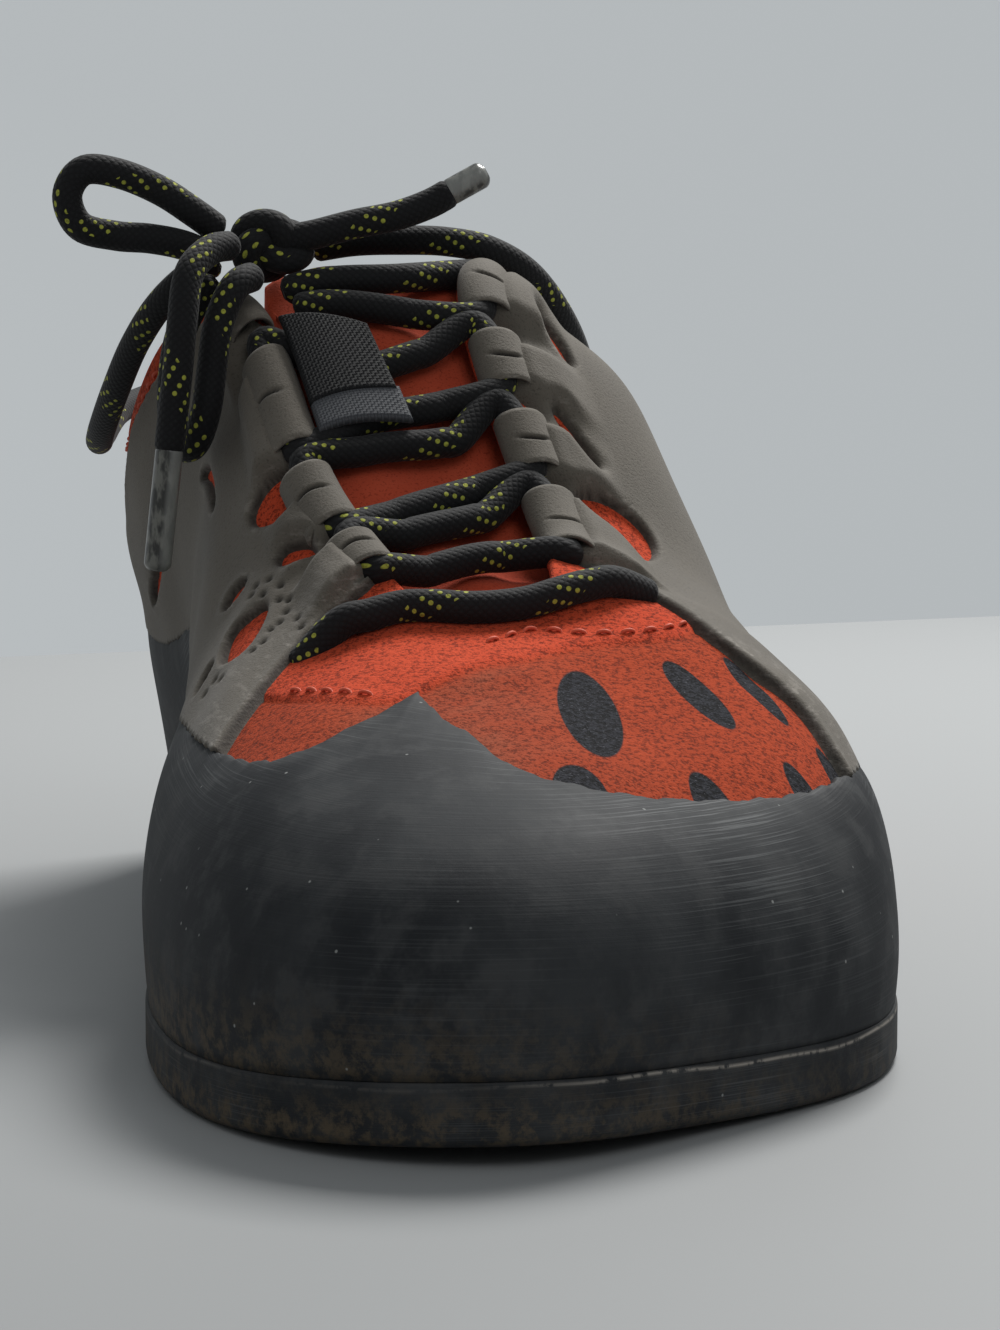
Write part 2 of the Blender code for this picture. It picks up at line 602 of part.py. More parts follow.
def make_rand(name, start, end):
    """A rubber rand on the upper's lower wall, from one joint at the arch round to the other."""
    seam = FIT_GAP / 2 / ROUND_LENGTH
    places = stations_between(start + seam, end - seam)
    high = edge_height(places)

    def height(around, up):
        """Full thickness below, thinner at the top edge."""
        return FIT_GAP + RAND_THICKNESS * (1 - 0.5 * (up / edge_height(around)) ** 8)

    mesh = panel(name, places, np.zeros_like(places), high, UPPER_ROWS, FIT_GAP, height)
    add_object(name, mesh, MATERIALS["rubber"])


def roll_height(around, up, side):
    """How far the harness's rolled loops stand out, in mm: half round across the edge, cut at the gaps."""
    height = np.zeros_like(around)
    for start, end in LOOPS[side]:
        ends = np.clip(np.minimum(around - start, end - around) / LOOP_END, 0, 1)
        height = np.maximum(height, ends)
    across = (up - LOOP_CENTRE) / LOOP_HALF
    return LOOP_HEIGHT * height * np.sqrt(np.clip(1 - across**2, 0, 1))


def make_harness(side):
    """The grey harness on one side: from the rand up to the loops at the throat's edge."""
    corners, heights = zip(*HARNESS_EDGE[side])
    steps = [place for start, end in LOOPS[side] for place in (start, start + LOOP_END, end - LOOP_END, end)]
    places = stations_between(corners[0], corners[-1], list(corners) + steps)
    high = np.interp(places, corners, heights)
    low = edge_height(places) + RAND_CLEARANCE

    def height(around, up):
        """The harness's leather, and the rolled edge on top of it."""
        return HARNESS_GAP + HARNESS_THICKNESS + roll_height(around, up, side)

    rows = sorted(UPPER_ROWS + HARNESS_ROWS)
    mesh = panel("harness_" + side, places, low, high, rows, HARNESS_GAP, height)
    thing = add_object("harness_" + side, mesh, MATERIALS["harness"])
    for number, window in enumerate(WINDOWS[side]):
        cut = thing.modifiers.new("window", "BOOLEAN")
        cut.operation = "DIFFERENCE"
        cut.solver = "EXACT"
        cut.object = window_cutter("window_%s_%d" % (side, number + 1), window)


def window_cutter(name, window):
    """A closed lens through the harness, pointed at both ends."""
    around, up, half_around, half_up, turn = window
    sides = 12
    angle = np.linspace(0, 2 * math.pi, sides, endpoint=False)
    long, short = np.cos(angle), np.sin(angle) * np.abs(np.sin(angle)) ** 0.3
    lean = math.tan(math.radians(turn)) * half_around
    places = around + half_around * long
    heights = up + half_up * short + lean * long * ROUND_LENGTH / RIB_LENGTH
    build = bmesh.new()
    rings = []
    for offset in (-WINDOW_REACH, HARNESS_GAP + HARNESS_THICKNESS + WINDOW_REACH):
        points = surface(places, heights, offset)
        rings.append([build.verts.new(point * MM) for point in points])
    low, high = rings
    build.faces.new(low[::-1])
    build.faces.new(high)
    for k in range(sides):
        after = (k + 1) % sides
        build.faces.new((low[k], low[after], high[after], high[k]))
    bmesh.ops.recalc_face_normals(build, faces=build.faces)
    mesh = bpy.data.meshes.new(name)
    build.to_mesh(mesh)
    build.free()
    cutter = bpy.data.objects.new(name, mesh)
    cutter.hide_render = True
    cutter.display_type = "WIRE"
    cutter.parent = STAND
    CUTTERS.objects.link(cutter)
    return cutter


def make_tongue():
    """The tongue under the laces, from beneath the throat's front to just over the collar."""
    share = THROAT_FRONT + (TONGUE_TOP - THROAT_FRONT) * np.linspace(0, 1, TONGUE_ROWS + 1) ** 1.6
    flap = TONGUE_FLAP * np.array([0.5, 1.0])
    across = np.concatenate([-flap[::-1], np.linspace(0, 1, 7), 1 + flap])
    along, over = np.meshgrid(share, across, indexing="ij")
    top = throat_bridge(along, over)
    under = throat_bridge(along, over, -TONGUE_THICKNESS)
    mesh = loft("tongue", top, under, False)
    add_object("tongue", mesh, MATERIALS["tongue"])


def make_tab():
    """The webbing pull tab, which lies over a strand of the lace."""
    along, over = np.meshgrid(np.linspace(*TAB_ALONG, 5), np.linspace(*TAB_ACROSS, 6), indexing="ij")
    rest = LACE + 2 * FIT_GAP
    mesh = loft(
        "tongue_tab", throat_bridge(along, over, rest + TAB_THICKNESS), throat_bridge(along, over, rest), False
    )
    add_object("tongue_tab", mesh, MATERIALS["webbing"])


def smooth_route(points, spacing):
    """Points at an even spacing on a smooth curve through a route's points."""
    points = np.asarray(points, float)
    before = np.vstack([2 * points[0] - points[1], points[:-1]])
    after = np.vstack([points[1:], 2 * points[-1] - points[-2]])
    slope = (after - before) / 2
    fine = []
    for i in range(len(points) - 1):
        t = np.linspace(0, 1, 16, endpoint=False)[:, None]
        fine.append(
            (2 * t**3 - 3 * t**2 + 1) * points[i] + (t**3 - 2 * t**2 + t) * slope[i]
            + (-2 * t**3 + 3 * t**2) * points[i + 1] + (t**3 - t**2) * slope[i + 1]
        )
    fine = np.vstack(fine + [points[-1:]])
    run = np.concatenate([[0], np.cumsum(np.linalg.norm(np.diff(fine, axis=0), axis=1))])
    count = max(2, int(round(run[-1] / spacing)) + 1)
    at = np.linspace(0, run[-1], count)
    return np.stack([np.interp(at, run, fine[:, k]) for k in range(3)], -1)


def make_tube(name, points, diameter, material):
    """A round tube along points, with filled ends, as a mesh."""
    curve = bpy.data.curves.new(name, "CURVE")
    curve.dimensions = "3D"
    curve.bevel_depth = diameter / 2 * MM
    curve.bevel_resolution = 2
    curve.use_fill_caps = True
    spline = curve.splines.new("POLY")
    spline.points.add(len(points) - 1)
    for knot, point in zip(spline.points, points):
        knot.co = (*(point * MM), 1.0)
    curve.materials.append(MATERIALS[material])
    tube = bpy.data.objects.new(name, curve)
    tube.parent = STAND
    SHOE.objects.link(tube)


def make_strands():
    """The lace's strands across the tongue and the one on the toe panel before it."""
    lift = FIT_GAP + LACE / 2
    around, up = np.array(FRONT_STRAND).T
    make_tube("lace_strand_1", smooth_route(surface(around, up, lift), LACE * 1.6), LACE, "lace")
    for number, (medial, lateral) in enumerate(STRANDS):
        width = np.linalg.norm(throat_bridge(medial, 0.0) - throat_bridge(lateral, 1.0))
        inset = STRAND_INSET / width
        across = np.linspace(inset, 1 - inset, 7)
        share = medial + (lateral - medial) * (3 * across**2 - 2 * across**3)
        points = throat_bridge(share, across, lift)
        make_tube("lace_strand_%d" % (number + 2), smooth_route(points, LACE * 1.6), LACE, "lace")


def make_free_lace():
    """The knot, the bow's loops, the ends and the turn round the ankle, with the sealed tips."""
    for name, route in LACE_ROUTES.items():
        make_tube(name, smooth_route(route, LACE * 2.6), LACE, "lace")
    for name, (lace, length) in AGLETS.items():
        route = np.array(LACE_ROUTES[lace], float)
        ahead = (route[-1] - route[-2]) / np.linalg.norm(route[-1] - route[-2])
        start = route[-1] + ahead * FIT_GAP
        make_tube(name, np.stack([start, start + ahead * length]), AGLET, "lace_tip")
    build = bmesh.new()
    bmesh.ops.create_uvsphere(build, u_segments=12, v_segments=8, radius=0.5)
    bmesh.ops.scale(build, vec=[size * MM for size in KNOT_SIZE], verts=build.verts)
    bmesh.ops.translate(build, vec=[place * MM for place in KNOT_CENTRE], verts=build.verts)
    mesh = bpy.data.meshes.new("lace_knot")
    build.to_mesh(mesh)
    build.free()
    add_object("lace_knot", mesh, MATERIALS["lace"])


clear_scene()
SHOE = bpy.data.collections.new("climbing_shoe")
CUTTERS = bpy.data.collections.new("cutters")
bpy.context.scene.collection.children.link(SHOE)
bpy.context.scene.collection.children.link(CUTTERS)
MATERIALS = {name: make_material(name) for name in COLOURS}
STAND = make_stand()

make_outsole()
make_insole()
make_upper()
make_rand("toe_rand", RAND_JOINTS[1] - 1, RAND_JOINTS[0])
make_rand("heel_rand", RAND_JOINTS[0], RAND_JOINTS[1])
make_harness("lateral")
make_harness("medial")
make_tongue()
make_tab()
make_strands()
make_free_lace()
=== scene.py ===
"""The looks of a lace-up climbing shoe for the left foot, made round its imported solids.

Lengths of the shoe are in millimetres, about the line from toe to heel along which its last was drawn. They
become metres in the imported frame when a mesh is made. Places on the shoe's side are given as (around, up):
around runs from 0 at the toe over the lateral side to the heel and back to 1, and up from the sole to the
opening's edge.
"""

import math

import bmesh
import bpy
import numpy as np
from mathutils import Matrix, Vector, kdtree


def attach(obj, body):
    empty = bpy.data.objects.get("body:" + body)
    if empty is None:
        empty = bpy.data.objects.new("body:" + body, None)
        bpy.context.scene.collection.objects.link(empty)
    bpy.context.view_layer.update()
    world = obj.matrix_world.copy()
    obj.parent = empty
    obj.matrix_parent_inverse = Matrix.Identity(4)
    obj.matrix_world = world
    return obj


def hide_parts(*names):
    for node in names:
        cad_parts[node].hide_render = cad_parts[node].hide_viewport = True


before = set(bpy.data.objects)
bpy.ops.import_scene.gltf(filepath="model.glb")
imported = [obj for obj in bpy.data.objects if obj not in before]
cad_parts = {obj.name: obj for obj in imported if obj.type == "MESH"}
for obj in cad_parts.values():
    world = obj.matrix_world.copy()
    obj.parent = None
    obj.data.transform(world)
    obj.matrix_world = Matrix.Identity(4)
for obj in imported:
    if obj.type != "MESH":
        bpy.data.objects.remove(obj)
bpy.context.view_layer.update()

MM = 0.001

# Sizes of the shoe, as its solids have them.
LENGTH = 262.0
BALL_WIDTH = 99.0
HEEL_WIDTH = 57.0
COLLAR_WIDTH = 66.0
THROAT_WIDTH = 32.0
VAMP_HEIGHT = 54.6
INSTEP_HEIGHT = 101.0
ANKLE_HEIGHT = 76.0
HEEL_HEIGHT = 89.0
TOE_SPRING = 2.6
ARCH_RISE = 6.5
HEEL_SPRING = 2.0
SOLE_THICKNESS = 7.4
WALL = 2.0
RAND_THICKNESS = 1.8
HARNESS_THICKNESS = 1.3
TONGUE_THICKNESS = 2.2
INSOLE_THICKNESS = 2.0
FIT_GAP = 0.3
INSOLE_GAP = 0.5
HARNESS_GAP = 0.45
EDGE_INSET = 2.4
TONGUE_CLEARANCE = 1.3
TONGUE_CROWN = 0.5
INSOLE_CLEARANCE = 0.9

# The parts of the last by the widths of their sole and top edge and the height of their top edge.
ZONES = {
    "vamp": (BALL_WIDTH, THROAT_WIDTH, VAMP_HEIGHT),
    "instep": (BALL_WIDTH, THROAT_WIDTH, INSTEP_HEIGHT),
    "ankle": (HEEL_WIDTH, COLLAR_WIDTH, ANKLE_HEIGHT),
    "heel": (HEEL_WIDTH, COLLAR_WIDTH, HEEL_HEIGHT),
}
# The last's ribs round the shoe, each with its zone. along, across: the sole's edge, as shares of LENGTH and
# of the zone's width. top_along, top_across, top_up: the rib's end on the throat or collar, likewise. rise,
# stand_out: how high the wall climbs before it turns, and its bulge in mm. reach, drop: how the rib comes in
# to its top end.
RIBS = [
    ("vamp", 0.000, -0.08, 0.344, 0.12, 1.00, 0.62, 4.0, 0.62, 0.34),
    ("vamp", 0.044, 0.15, 0.346, 0.25, 1.01, 0.60, 4.0, 0.62, 0.32),
    ("vamp", 0.137, 0.43, 0.355, 0.39, 1.05, 0.62, 3.0, 0.60, 0.28),
    ("vamp", 0.305, 0.55, 0.386, 0.45, 1.12, 0.70, 3.0, 0.72, 0.21),
    ("instep", 0.477, 0.47, 0.465, 0.37, 0.75, 0.77, 4.0, 0.92, 0.18),
    ("instep", 0.580, 0.39, 0.565, 0.33, 0.99, 0.79, 4.5, 0.95, 0.15),
    ("ankle", 0.668, 0.60, 0.655, 0.42, 1.16, 0.60, 3.5, 0.20, 0.30),
    ("ankle", 0.763, 0.55, 0.765, 0.49, 1.01, 0.50, 5.5, 0.00, 0.35),
    ("heel", 0.870, 0.50, 0.875, 0.41, 0.92, 0.45, 7.0, 0.10, 0.40),
    ("heel", 0.962, 0.31, 0.943, 0.21, 0.98, 0.42, 6.0, 0.10, 0.45),
    ("heel", 1.000, -0.01, 0.964, -0.02, 1.00, 0.42, 6.0, 0.10, 0.45),
    ("heel", 0.962, -0.30, 0.943, -0.24, 0.98, 0.42, 5.0, 0.10, 0.45),
    ("heel", 0.870, -0.45, 0.875, -0.44, 0.92, 0.45, 4.5, 0.10, 0.40),
    ("ankle", 0.763, -0.41, 0.765, -0.53, 1.00, 0.50, 6.0, 0.00, 0.35),
    ("ankle", 0.650, -0.42, 0.645, -0.49, 1.19, 0.55, 6.0, 0.20, 0.32),
    ("instep", 0.545, -0.29, 0.560, -0.68, 0.95, 0.62, 5.0, 0.55, 0.28),
    ("instep", 0.440, -0.355, 0.465, -0.50, 0.75, 0.62, 4.0, 0.55, 0.28),
    ("vamp", 0.340, -0.42, 0.403, -0.33, 1.16, 0.64, 3.0, 0.55, 0.26),
    ("vamp", 0.230, -0.445, 0.363, -0.19, 1.05, 0.64, 2.5, 0.55, 0.26),
    ("vamp", 0.107, -0.40, 0.348, -0.08, 1.01, 0.66, 3.0, 0.60, 0.28),
    ("vamp", 0.027, -0.26, 0.344, 0.02, 1.00, 0.64, 4.0, 0.60, 0.32),
]

# The rand's top edge as (around, up), from its peak over the big toe round the shoe and back to it.
RAND_EDGE = [
    (-0.037, 0.785), (-0.022, 0.722), (-0.011, 0.680), (0.001, 0.603), (0.019, 0.543), (0.039, 0.493),
    (0.065, 0.452), (0.103, 0.412), (0.126, 0.390), (0.150, 0.362), (0.190, 0.310), (0.240, 0.210),
    (0.290, 0.145), (0.340, 0.150), (0.390, 0.270), (0.445, 0.460), (0.512, 0.560), (0.578, 0.530),
    (0.620, 0.490), (0.655, 0.410), (0.695, 0.330), (0.745, 0.310), (0.800, 0.390), (0.850, 0.455),
    (0.886, 0.490), (0.910, 0.515), (0.924, 0.545), (0.935, 0.600), (0.943, 0.660), (0.953, 0.724),
    (0.963, 0.785),
]
RAND_JOINTS = (0.300, 0.735)

# The harness's outline on each side, from the rand up its front edge, along the throat and down its back.
HARNESS_EDGE = {
    "lateral": [
        (0.134, 0.36), (0.137, 0.43), (0.142, 0.49), (0.147, 0.57), (0.151, 0.65), (0.157, 0.72),
        (0.170, 0.79), (0.178, 0.84), (0.186, 0.89), (0.190, 0.95), (0.191, 1.00), (0.336, 1.00),
        (0.344, 0.84), (0.352, 0.70), (0.362, 0.46), (0.376, 0.22),
    ],
    "medial": [
        (0.598, 0.48), (0.606, 0.58), (0.620, 0.74), (0.640, 0.87), (0.660, 0.930), (0.700, 0.940),
        (0.710, 0.96), (0.717, 1.00), (0.847, 1.00), (0.850, 0.94), (0.849, 0.84), (0.851, 0.77),
        (0.857, 0.68), (0.863, 0.59), (0.867, 0.53), (0.873, 0.45),
    ],
}
# Its rolled loops at the throat, as spans round the shoe from the front, or to it on the medial side.
LOOPS = {
    "lateral": [(0.190, 0.244), (0.250, 0.2655), (0.2705, 0.283), (0.288, 0.308)],
    "medial": [(0.722, 0.741), (0.748, 0.777), (0.783, 0.812), (0.819, 0.846)],
}
# Openings in the harness that show the suede, as closed outlines of (around, up) places.
WINDOWS = {
    "lateral": [
        [(0.2485, 0.895), (0.2520, 0.840), (0.2520, 0.790), (0.2490, 0.745), (0.2430, 0.735),
         (0.2360, 0.762), (0.2300, 0.810), (0.2350, 0.860), (0.2420, 0.890)],
        [(0.2690, 0.885), (0.2700, 0.865), (0.2625, 0.825), (0.2615, 0.845)],
        [(0.2855, 0.822), (0.2870, 0.806), (0.2965, 0.840), (0.2950, 0.856)],
    ],
    "medial": [
        [(0.7805, 0.955), (0.7840, 0.935), (0.7870, 0.880), (0.7820, 0.815), (0.7740, 0.755),
         (0.7705, 0.785), (0.7735, 0.875)],
        [(0.8100, 0.715), (0.8170, 0.715), (0.8255, 0.655), (0.8245, 0.600), (0.8150, 0.565),
         (0.8045, 0.600), (0.8060, 0.660)],
        [(0.7965, 0.825), (0.8040, 0.885), (0.8095, 0.895), (0.8105, 0.880), (0.8010, 0.805)],
        [(0.7840, 0.610), (0.7870, 0.680), (0.7905, 0.675), (0.7885, 0.605)],
        [(0.7180, 0.585), (0.7400, 0.605), (0.7465, 0.580), (0.7250, 0.562)],
        [(0.6500, 0.535), (0.6670, 0.575), (0.6720, 0.552), (0.6560, 0.512)],
        [(0.8060, 0.520), (0.8105, 0.525), (0.8125, 0.475), (0.8080, 0.468)],
    ],
}

# The tongue between the throat's edges.
THROAT_FRONT = 0.3447
THROAT_TOP = 0.560
TONGUE_TOP = 0.582
TONGUE_FLAP = 0.13
TONGUE_WIDTH = 34.0

# The lace: each strand's places over the tongue as (medial end, lateral end), shares of LENGTH.
LACE = 4.4
STRAND_INSET = 3.2
STRANDS = [
    (0.3725, 0.3930), (0.4010, 0.4280), (0.4150, 0.4440), (0.4560, 0.4650), (0.4700, 0.4820),
    (0.4900, 0.5085), (0.5400, 0.5250), (0.5530, 0.5520),
]
FRONT_STRAND = [
    (-0.137, 0.80), (-0.122, 0.88), (-0.093, 0.955), (-0.050, 0.972), (0.000, 0.975), (0.060, 0.970),
    (0.120, 0.945), (0.163, 0.880),
]
# The free lace: points on the centre lines, as the solids follow them.
LACE_ROUTES = {
    "lace_wrap": [
        (-11.5, 23.2, 104.4), (-5, 22.8, 105.4), (2, 22.6, 105.6), (9, 22.8, 105.4), (16, 24, 104),
        (23, 27.8, 100), (29.5, 35, 92.6), (34.5, 46, 84.5), (36.8, 57, 78.6), (37.2, 68, 75.8),
        (36.2, 80, 74.6), (32.6, 97, 77.4), (24.4, 112.4, 81.4),
        (11.5, 123, 84.4), (-1.5, 126.2, 85.2), (-12.5, 123.2, 84.4), (-26, 112.4, 81.2),
        (-34.6, 97, 78.5), (-38.8, 80, 75), (-40.2, 68, 74.4), (-40.4, 57, 77), (-39.2, 45, 83),
        (-37, 35, 90), (-33.8, 27, 96), (-29.6, 21.8, 100.4), (-25.6, 21, 102.6),
    ],
    "lace_loop_left": [
        (-25.4, 18.6, 106.6), (-29.4, 17.6, 109.4), (-34.5, 16.8, 112.6), (-40.5, 16.4, 115),
        (-45.6, 16.4, 115.4), (-48, 16.6, 111.8), (-46.2, 17, 107.4), (-41, 17.4, 106),
        (-36, 16.8, 105.6), (-31, 16.4, 104.6),
        (-26.6, 16, 102.6),
    ],
    "lace_loop_hanging": [
        (-21.2, 10.4, 100.2), (-24.6, 7, 98.6), (-27.2, 5.6, 93.2), (-28.2, 5.2, 87), (-29.2, 5, 80.4),
        (-30.8, 7.4, 75.8), (-32.6, 11.6, 76), (-33.2, 14.6, 80.6), (-32.8, 15.2, 87), (-31.6, 14.8, 92.4),
        (-29.2, 14.4, 97), (-26.4, 14, 99.4),
    ],
    "lace_end_right": [
        (-11.4, 15.6, 106.4), (-6, 15.2, 107.8), (0, 14.8, 109), (5, 14.4, 110.8), (8.6, 14, 112.8),
    ],
    "lace_end_hanging": [
        (-24.2, 12.6, 104.6), (-28, 9, 103.8), (-31.4, 5, 100.4), (-32.6, 2.8, 94), (-33.4, 2, 87),
        (-34.2, 2, 80), (-34.8, 2, 74.6),
    ],
}
# The right end's start inside the knot, before the points above.
END_IN_KNOT = [(-23.0, 19.6, 102.8), (-19.0, 18.2, 104.2), (-15.0, 16.6, 105.6)]
AGLETS = {"aglet_right": ("lace_end_right", 5.2), "aglet_hanging": ("lace_end_hanging", 16.5)}
AGLET = 4.0
KNOT_CENTRE = (-18.2, 18.0, 104.6)
KNOT_SIZE = (1.55, 1.75, 1.15)

TAB_THICKNESS = 1.2

# The spacing of mesh points round the shoe, and along a lace, in mm.
MESH_STEP = 0.62
LACE_STEP = 0.55

# The camera: where it stands, what it looks at, and its lens for the 1000 by 1330 frame.
CAMERA_PLACE = (-80.6, -527.6, 95.0)
CAMERA_AIM = (5.9, -40.0, 47.6)
CAMERA_LENS = 100.0


def periodic_spline(knots, values, period=1.0):
    """A smooth closed curve through rows of values, as a function of any array of parameters."""
    knots, values = np.asarray(knots, float), np.asarray(values, float)
    count = len(knots)
    step = np.diff(np.append(knots, knots[0] + period))
    system = np.zeros((count, count))
    slopes = np.zeros_like(values)
    for i in range(count):
        before, after = (i - 1) % count, (i + 1) % count
        system[i, before] += step[before] / 6
        system[i, i] += (step[before] + step[i]) / 3
        system[i, after] += step[i] / 6
        slopes[i] = (values[after] - values[i]) / step[i] - (values[i] - values[before]) / step[before]
    bend = np.linalg.solve(system, slopes)

    def curve(at):
        at = (np.asarray(at, float) - knots[0]) % period + knots[0]
        i = np.clip(np.searchsorted(knots, at, side="right") - 1, 0, count - 1)
        after = (i + 1) % count
        h = step[i][..., None]
        b = (at - knots[i])[..., None] / h
        a = 1 - b
        return (
            a * values[i] + b * values[after]
            + ((a**3 - a) * bend[i] + (b**3 - b) * bend[after]) * h**2 / 6
        )

    return curve


def hermite(t, first, last, slope_out, slope_in):
    """A smooth way from one value to another, with a slope at each end."""
    return (
        (2 * t**3 - 3 * t**2 + 1) * first + (t**3 - 2 * t**2 + t) * slope_out
        + (-2 * t**3 + 3 * t**2) * last + (t**3 - t**2) * slope_in
    )


def bezier(t, handles):
    """Points of the cubic curve with four handles."""
    weights = ((1 - t) ** 3, 3 * t * (1 - t) ** 2, 3 * t**2 * (1 - t), t**3)
    return sum(weight * handle for weight, handle in zip(weights, handles))


def open_curve(knots, values, at):
    """A smooth curve through values at uneven knots, with free ends, at an array of parameters."""
    knots, values = np.asarray(knots, float), np.asarray(values, float)
    slope = np.gradient(values, knots)
    i = np.clip(np.searchsorted(knots, at, side="right") - 1, 0, len(knots) - 2)
    h = knots[i + 1] - knots[i]
    return hermite((at - knots[i]) / h, values[i], values[i + 1], slope[i] * h, slope[i + 1] * h)


def unit(vectors):
    """Vectors at a length of 1."""
    return vectors / np.linalg.norm(vectors, axis=-1, keepdims=True)


def runs(points):
    """How far along a line through points each of them lies."""
    return np.concatenate([[0], np.cumsum(np.linalg.norm(np.diff(points, axis=0), axis=1))])


def rib_rows():
    """The ribs' sizes in millimetres: sole edge along and across, top end, rise, bulge, reach, drop."""
    rows = []
    for zone, along, across, top_along, top_across, top_up, *shape in RIBS:
        wide, top_wide, high = ZONES[zone]
        top = (top_along * LENGTH, top_across * top_wide, top_up * high)
        rows.append((along * LENGTH, across * wide, *top, *shape))
    return np.array(rows)


def rib_knots(rows):
    """Where each rib stands round the sole, by the chords between them, from 0 at the toe to 1."""
    edge = rows[:, :2]
    chords = np.linalg.norm(np.roll(edge, -1, axis=0) - edge, axis=1)
    return np.concatenate([[0], np.cumsum(chords)[:-1]]) / chords.sum()


ROWS = rib_rows()
KNOTS = rib_knots(ROWS)
RIB = periodic_spline(KNOTS, ROWS)
HEEL_STATION = KNOTS[int(np.argmax(ROWS[:, 0]))]
ROUND_LENGTH = float(np.linalg.norm(np.roll(ROWS[:, :2], -1, axis=0) - ROWS[:, :2], axis=1).sum())
RIB_LENGTH = INSTEP_HEIGHT - SOLE_THICKNESS
# The share of the way round, and up a rib, by which slopes are taken.
STEP = 0.002


def sole_bottom(along, across):
    """Height of the sole's underside: toe spring, flat forefoot, arch, flat heel, heel spring."""
    share = np.asarray(along, float) / LENGTH
    toe = TOE_SPRING * np.clip((0.16 - share) / 0.16, 0, 1) ** 2
    bump = np.clip((share - 0.42) / 0.34, 0, 1)
    inner = np.clip(0.5 - np.asarray(across, float) / HEEL_WIDTH, 0.15, 1)
    arch = ARCH_RISE * np.sin(bump * math.pi) ** 2 * inner
    heel = HEEL_SPRING * np.clip((share - 0.93) / 0.07, 0, 1) ** 2
    return toe + arch + heel


def rib_and_outward(around):
    """The rib's sizes at places round the shoe, and the way out from the sole's edge there."""
    ahead = RIB(around + STEP)[..., :2] - RIB(around - STEP)[..., :2]
    return RIB(around), unit(np.stack([-ahead[..., 1], ahead[..., 0]], -1))


def last_point(around, up):
    """The last's own surface: on each rib a cubic curve from the sole's edge to the opening's edge."""
    row, outward = rib_and_outward(around)
    foot = row[..., :2] - outward * EDGE_INSET
    foot_up = sole_bottom(row[..., 0], row[..., 1]) + SOLE_THICKNESS + FIT_GAP
    top, top_up = row[..., 2:4], row[..., 4]
    rise, out, reach, drop = (row[..., i] for i in range(5, 9))
    run, height = foot - top, top_up - foot_up
    handles = [
        np.concatenate([foot, foot_up[..., None]], -1),
        np.concatenate([foot + outward * out[..., None] * 4 / 3, (foot_up + rise * height)[..., None]], -1),
        np.concatenate([top + run * reach[..., None], (top_up - drop * height)[..., None]], -1),
        np.concatenate([top, top_up[..., None]], -1),
    ]
    point = bezier(up[..., None], handles)
    return np.stack([point[..., 1], point[..., 0] - LENGTH / 2, point[..., 2]], -1)


def surface(around, up, offset=0.0):
    """Points of the last at places round the shoe and up its ribs, at an offset outward in mm."""
    around, up, offset = np.broadcast_arrays(
        np.asarray(around, float), np.asarray(up, float), np.asarray(offset, float)
    )
    low, high = np.clip(up - STEP, 0, 1), np.clip(up + STEP, 0, 1)
    along_rib = last_point(around, high) - last_point(around, low)
    along_ring = last_point(around + STEP, up) - last_point(around - STEP, up)
    return last_point(around, up) + unit(np.cross(along_ring, along_rib)) * offset[..., None]


def edge_height(around):
    """The rand's top edge, up the rib, at places round the shoe."""
    knots, values = zip(*RAND_EDGE)
    turned = (np.asarray(around, float) - knots[0]) % 1.0 + knots[0]
    return open_curve(knots, values, turned)


def foot_outline(around, inset=0.0):
    """The sole's outline, moved in by an inset, as x and y."""
    row, outward = rib_and_outward(around)
    edge = row[..., :2] - outward * np.asarray(inset)[..., None]
    return edge[..., 1], edge[..., 0] - LENGTH / 2


def ground(x, y):
    """Height of the sole's underside under a point."""
    return sole_bottom(y + LENGTH / 2, x)


def throat_around(share, side):
    """Where round the shoe the throat's edge passes a share of the shoe's length."""
    places = np.linspace(0.0, 0.31, 125) if side == "lateral" else np.linspace(1.0, 0.715, 125)
    return np.interp(share * LENGTH, RIB(places)[:, 2], places)


def bridge_point(share, across):
    """One point of the tongue: a curve from the medial to the lateral throat edge, inside the wall."""
    inside = -(WALL + TONGUE_CLEARANCE)
    within = np.clip(share, THROAT_FRONT, THROAT_TOP)
    taper = np.clip(1 - (share - THROAT_TOP) / (TONGUE_TOP - THROAT_TOP), 0, 1)
    across = 0.5 + (across - 0.5) * (0.8 + 0.2 * taper)
    beyond = (share - within)[..., None] * LENGTH
    ends, leads = [], []
    under = 0.0
    for side, beside in (("medial", -across), ("lateral", across - 1)):
        around = throat_around(within, side)
        ends.append(surface(around, 1.0, inside))
        leads.append(ends[-1] - surface(around, 0.92, inside))
        under = under + (surface(around, 1 - np.clip(beside, 0, None), inside) - ends[-1])
    climb = 0.5 * sum(
        surface(throat_around(THROAT_TOP, side), 1.0, inside)
        - surface(throat_around(THROAT_TOP - 0.05, side), 1.0, inside)
        for side in ("medial", "lateral")
    )
    climb[0] = 0.0
    climb /= np.linalg.norm(climb)
    span = np.linalg.norm(ends[1] - ends[0], axis=-1, keepdims=True)
    t = np.clip(across, 0, 1)[..., None]
    reach = 0.3 * span
    chord = (ends[1] - ends[0]) / span
    lead = [
        unit(rib_end) * TONGUE_CROWN + inward * (1 - TONGUE_CROWN)
        for rib_end, inward in zip(leads, (chord, -chord))
    ]
    handles = (ends[0], ends[0] + lead[0] * reach, ends[1] + lead[1] * reach, ends[1])
    return bezier(t, handles) + under + climb * beyond


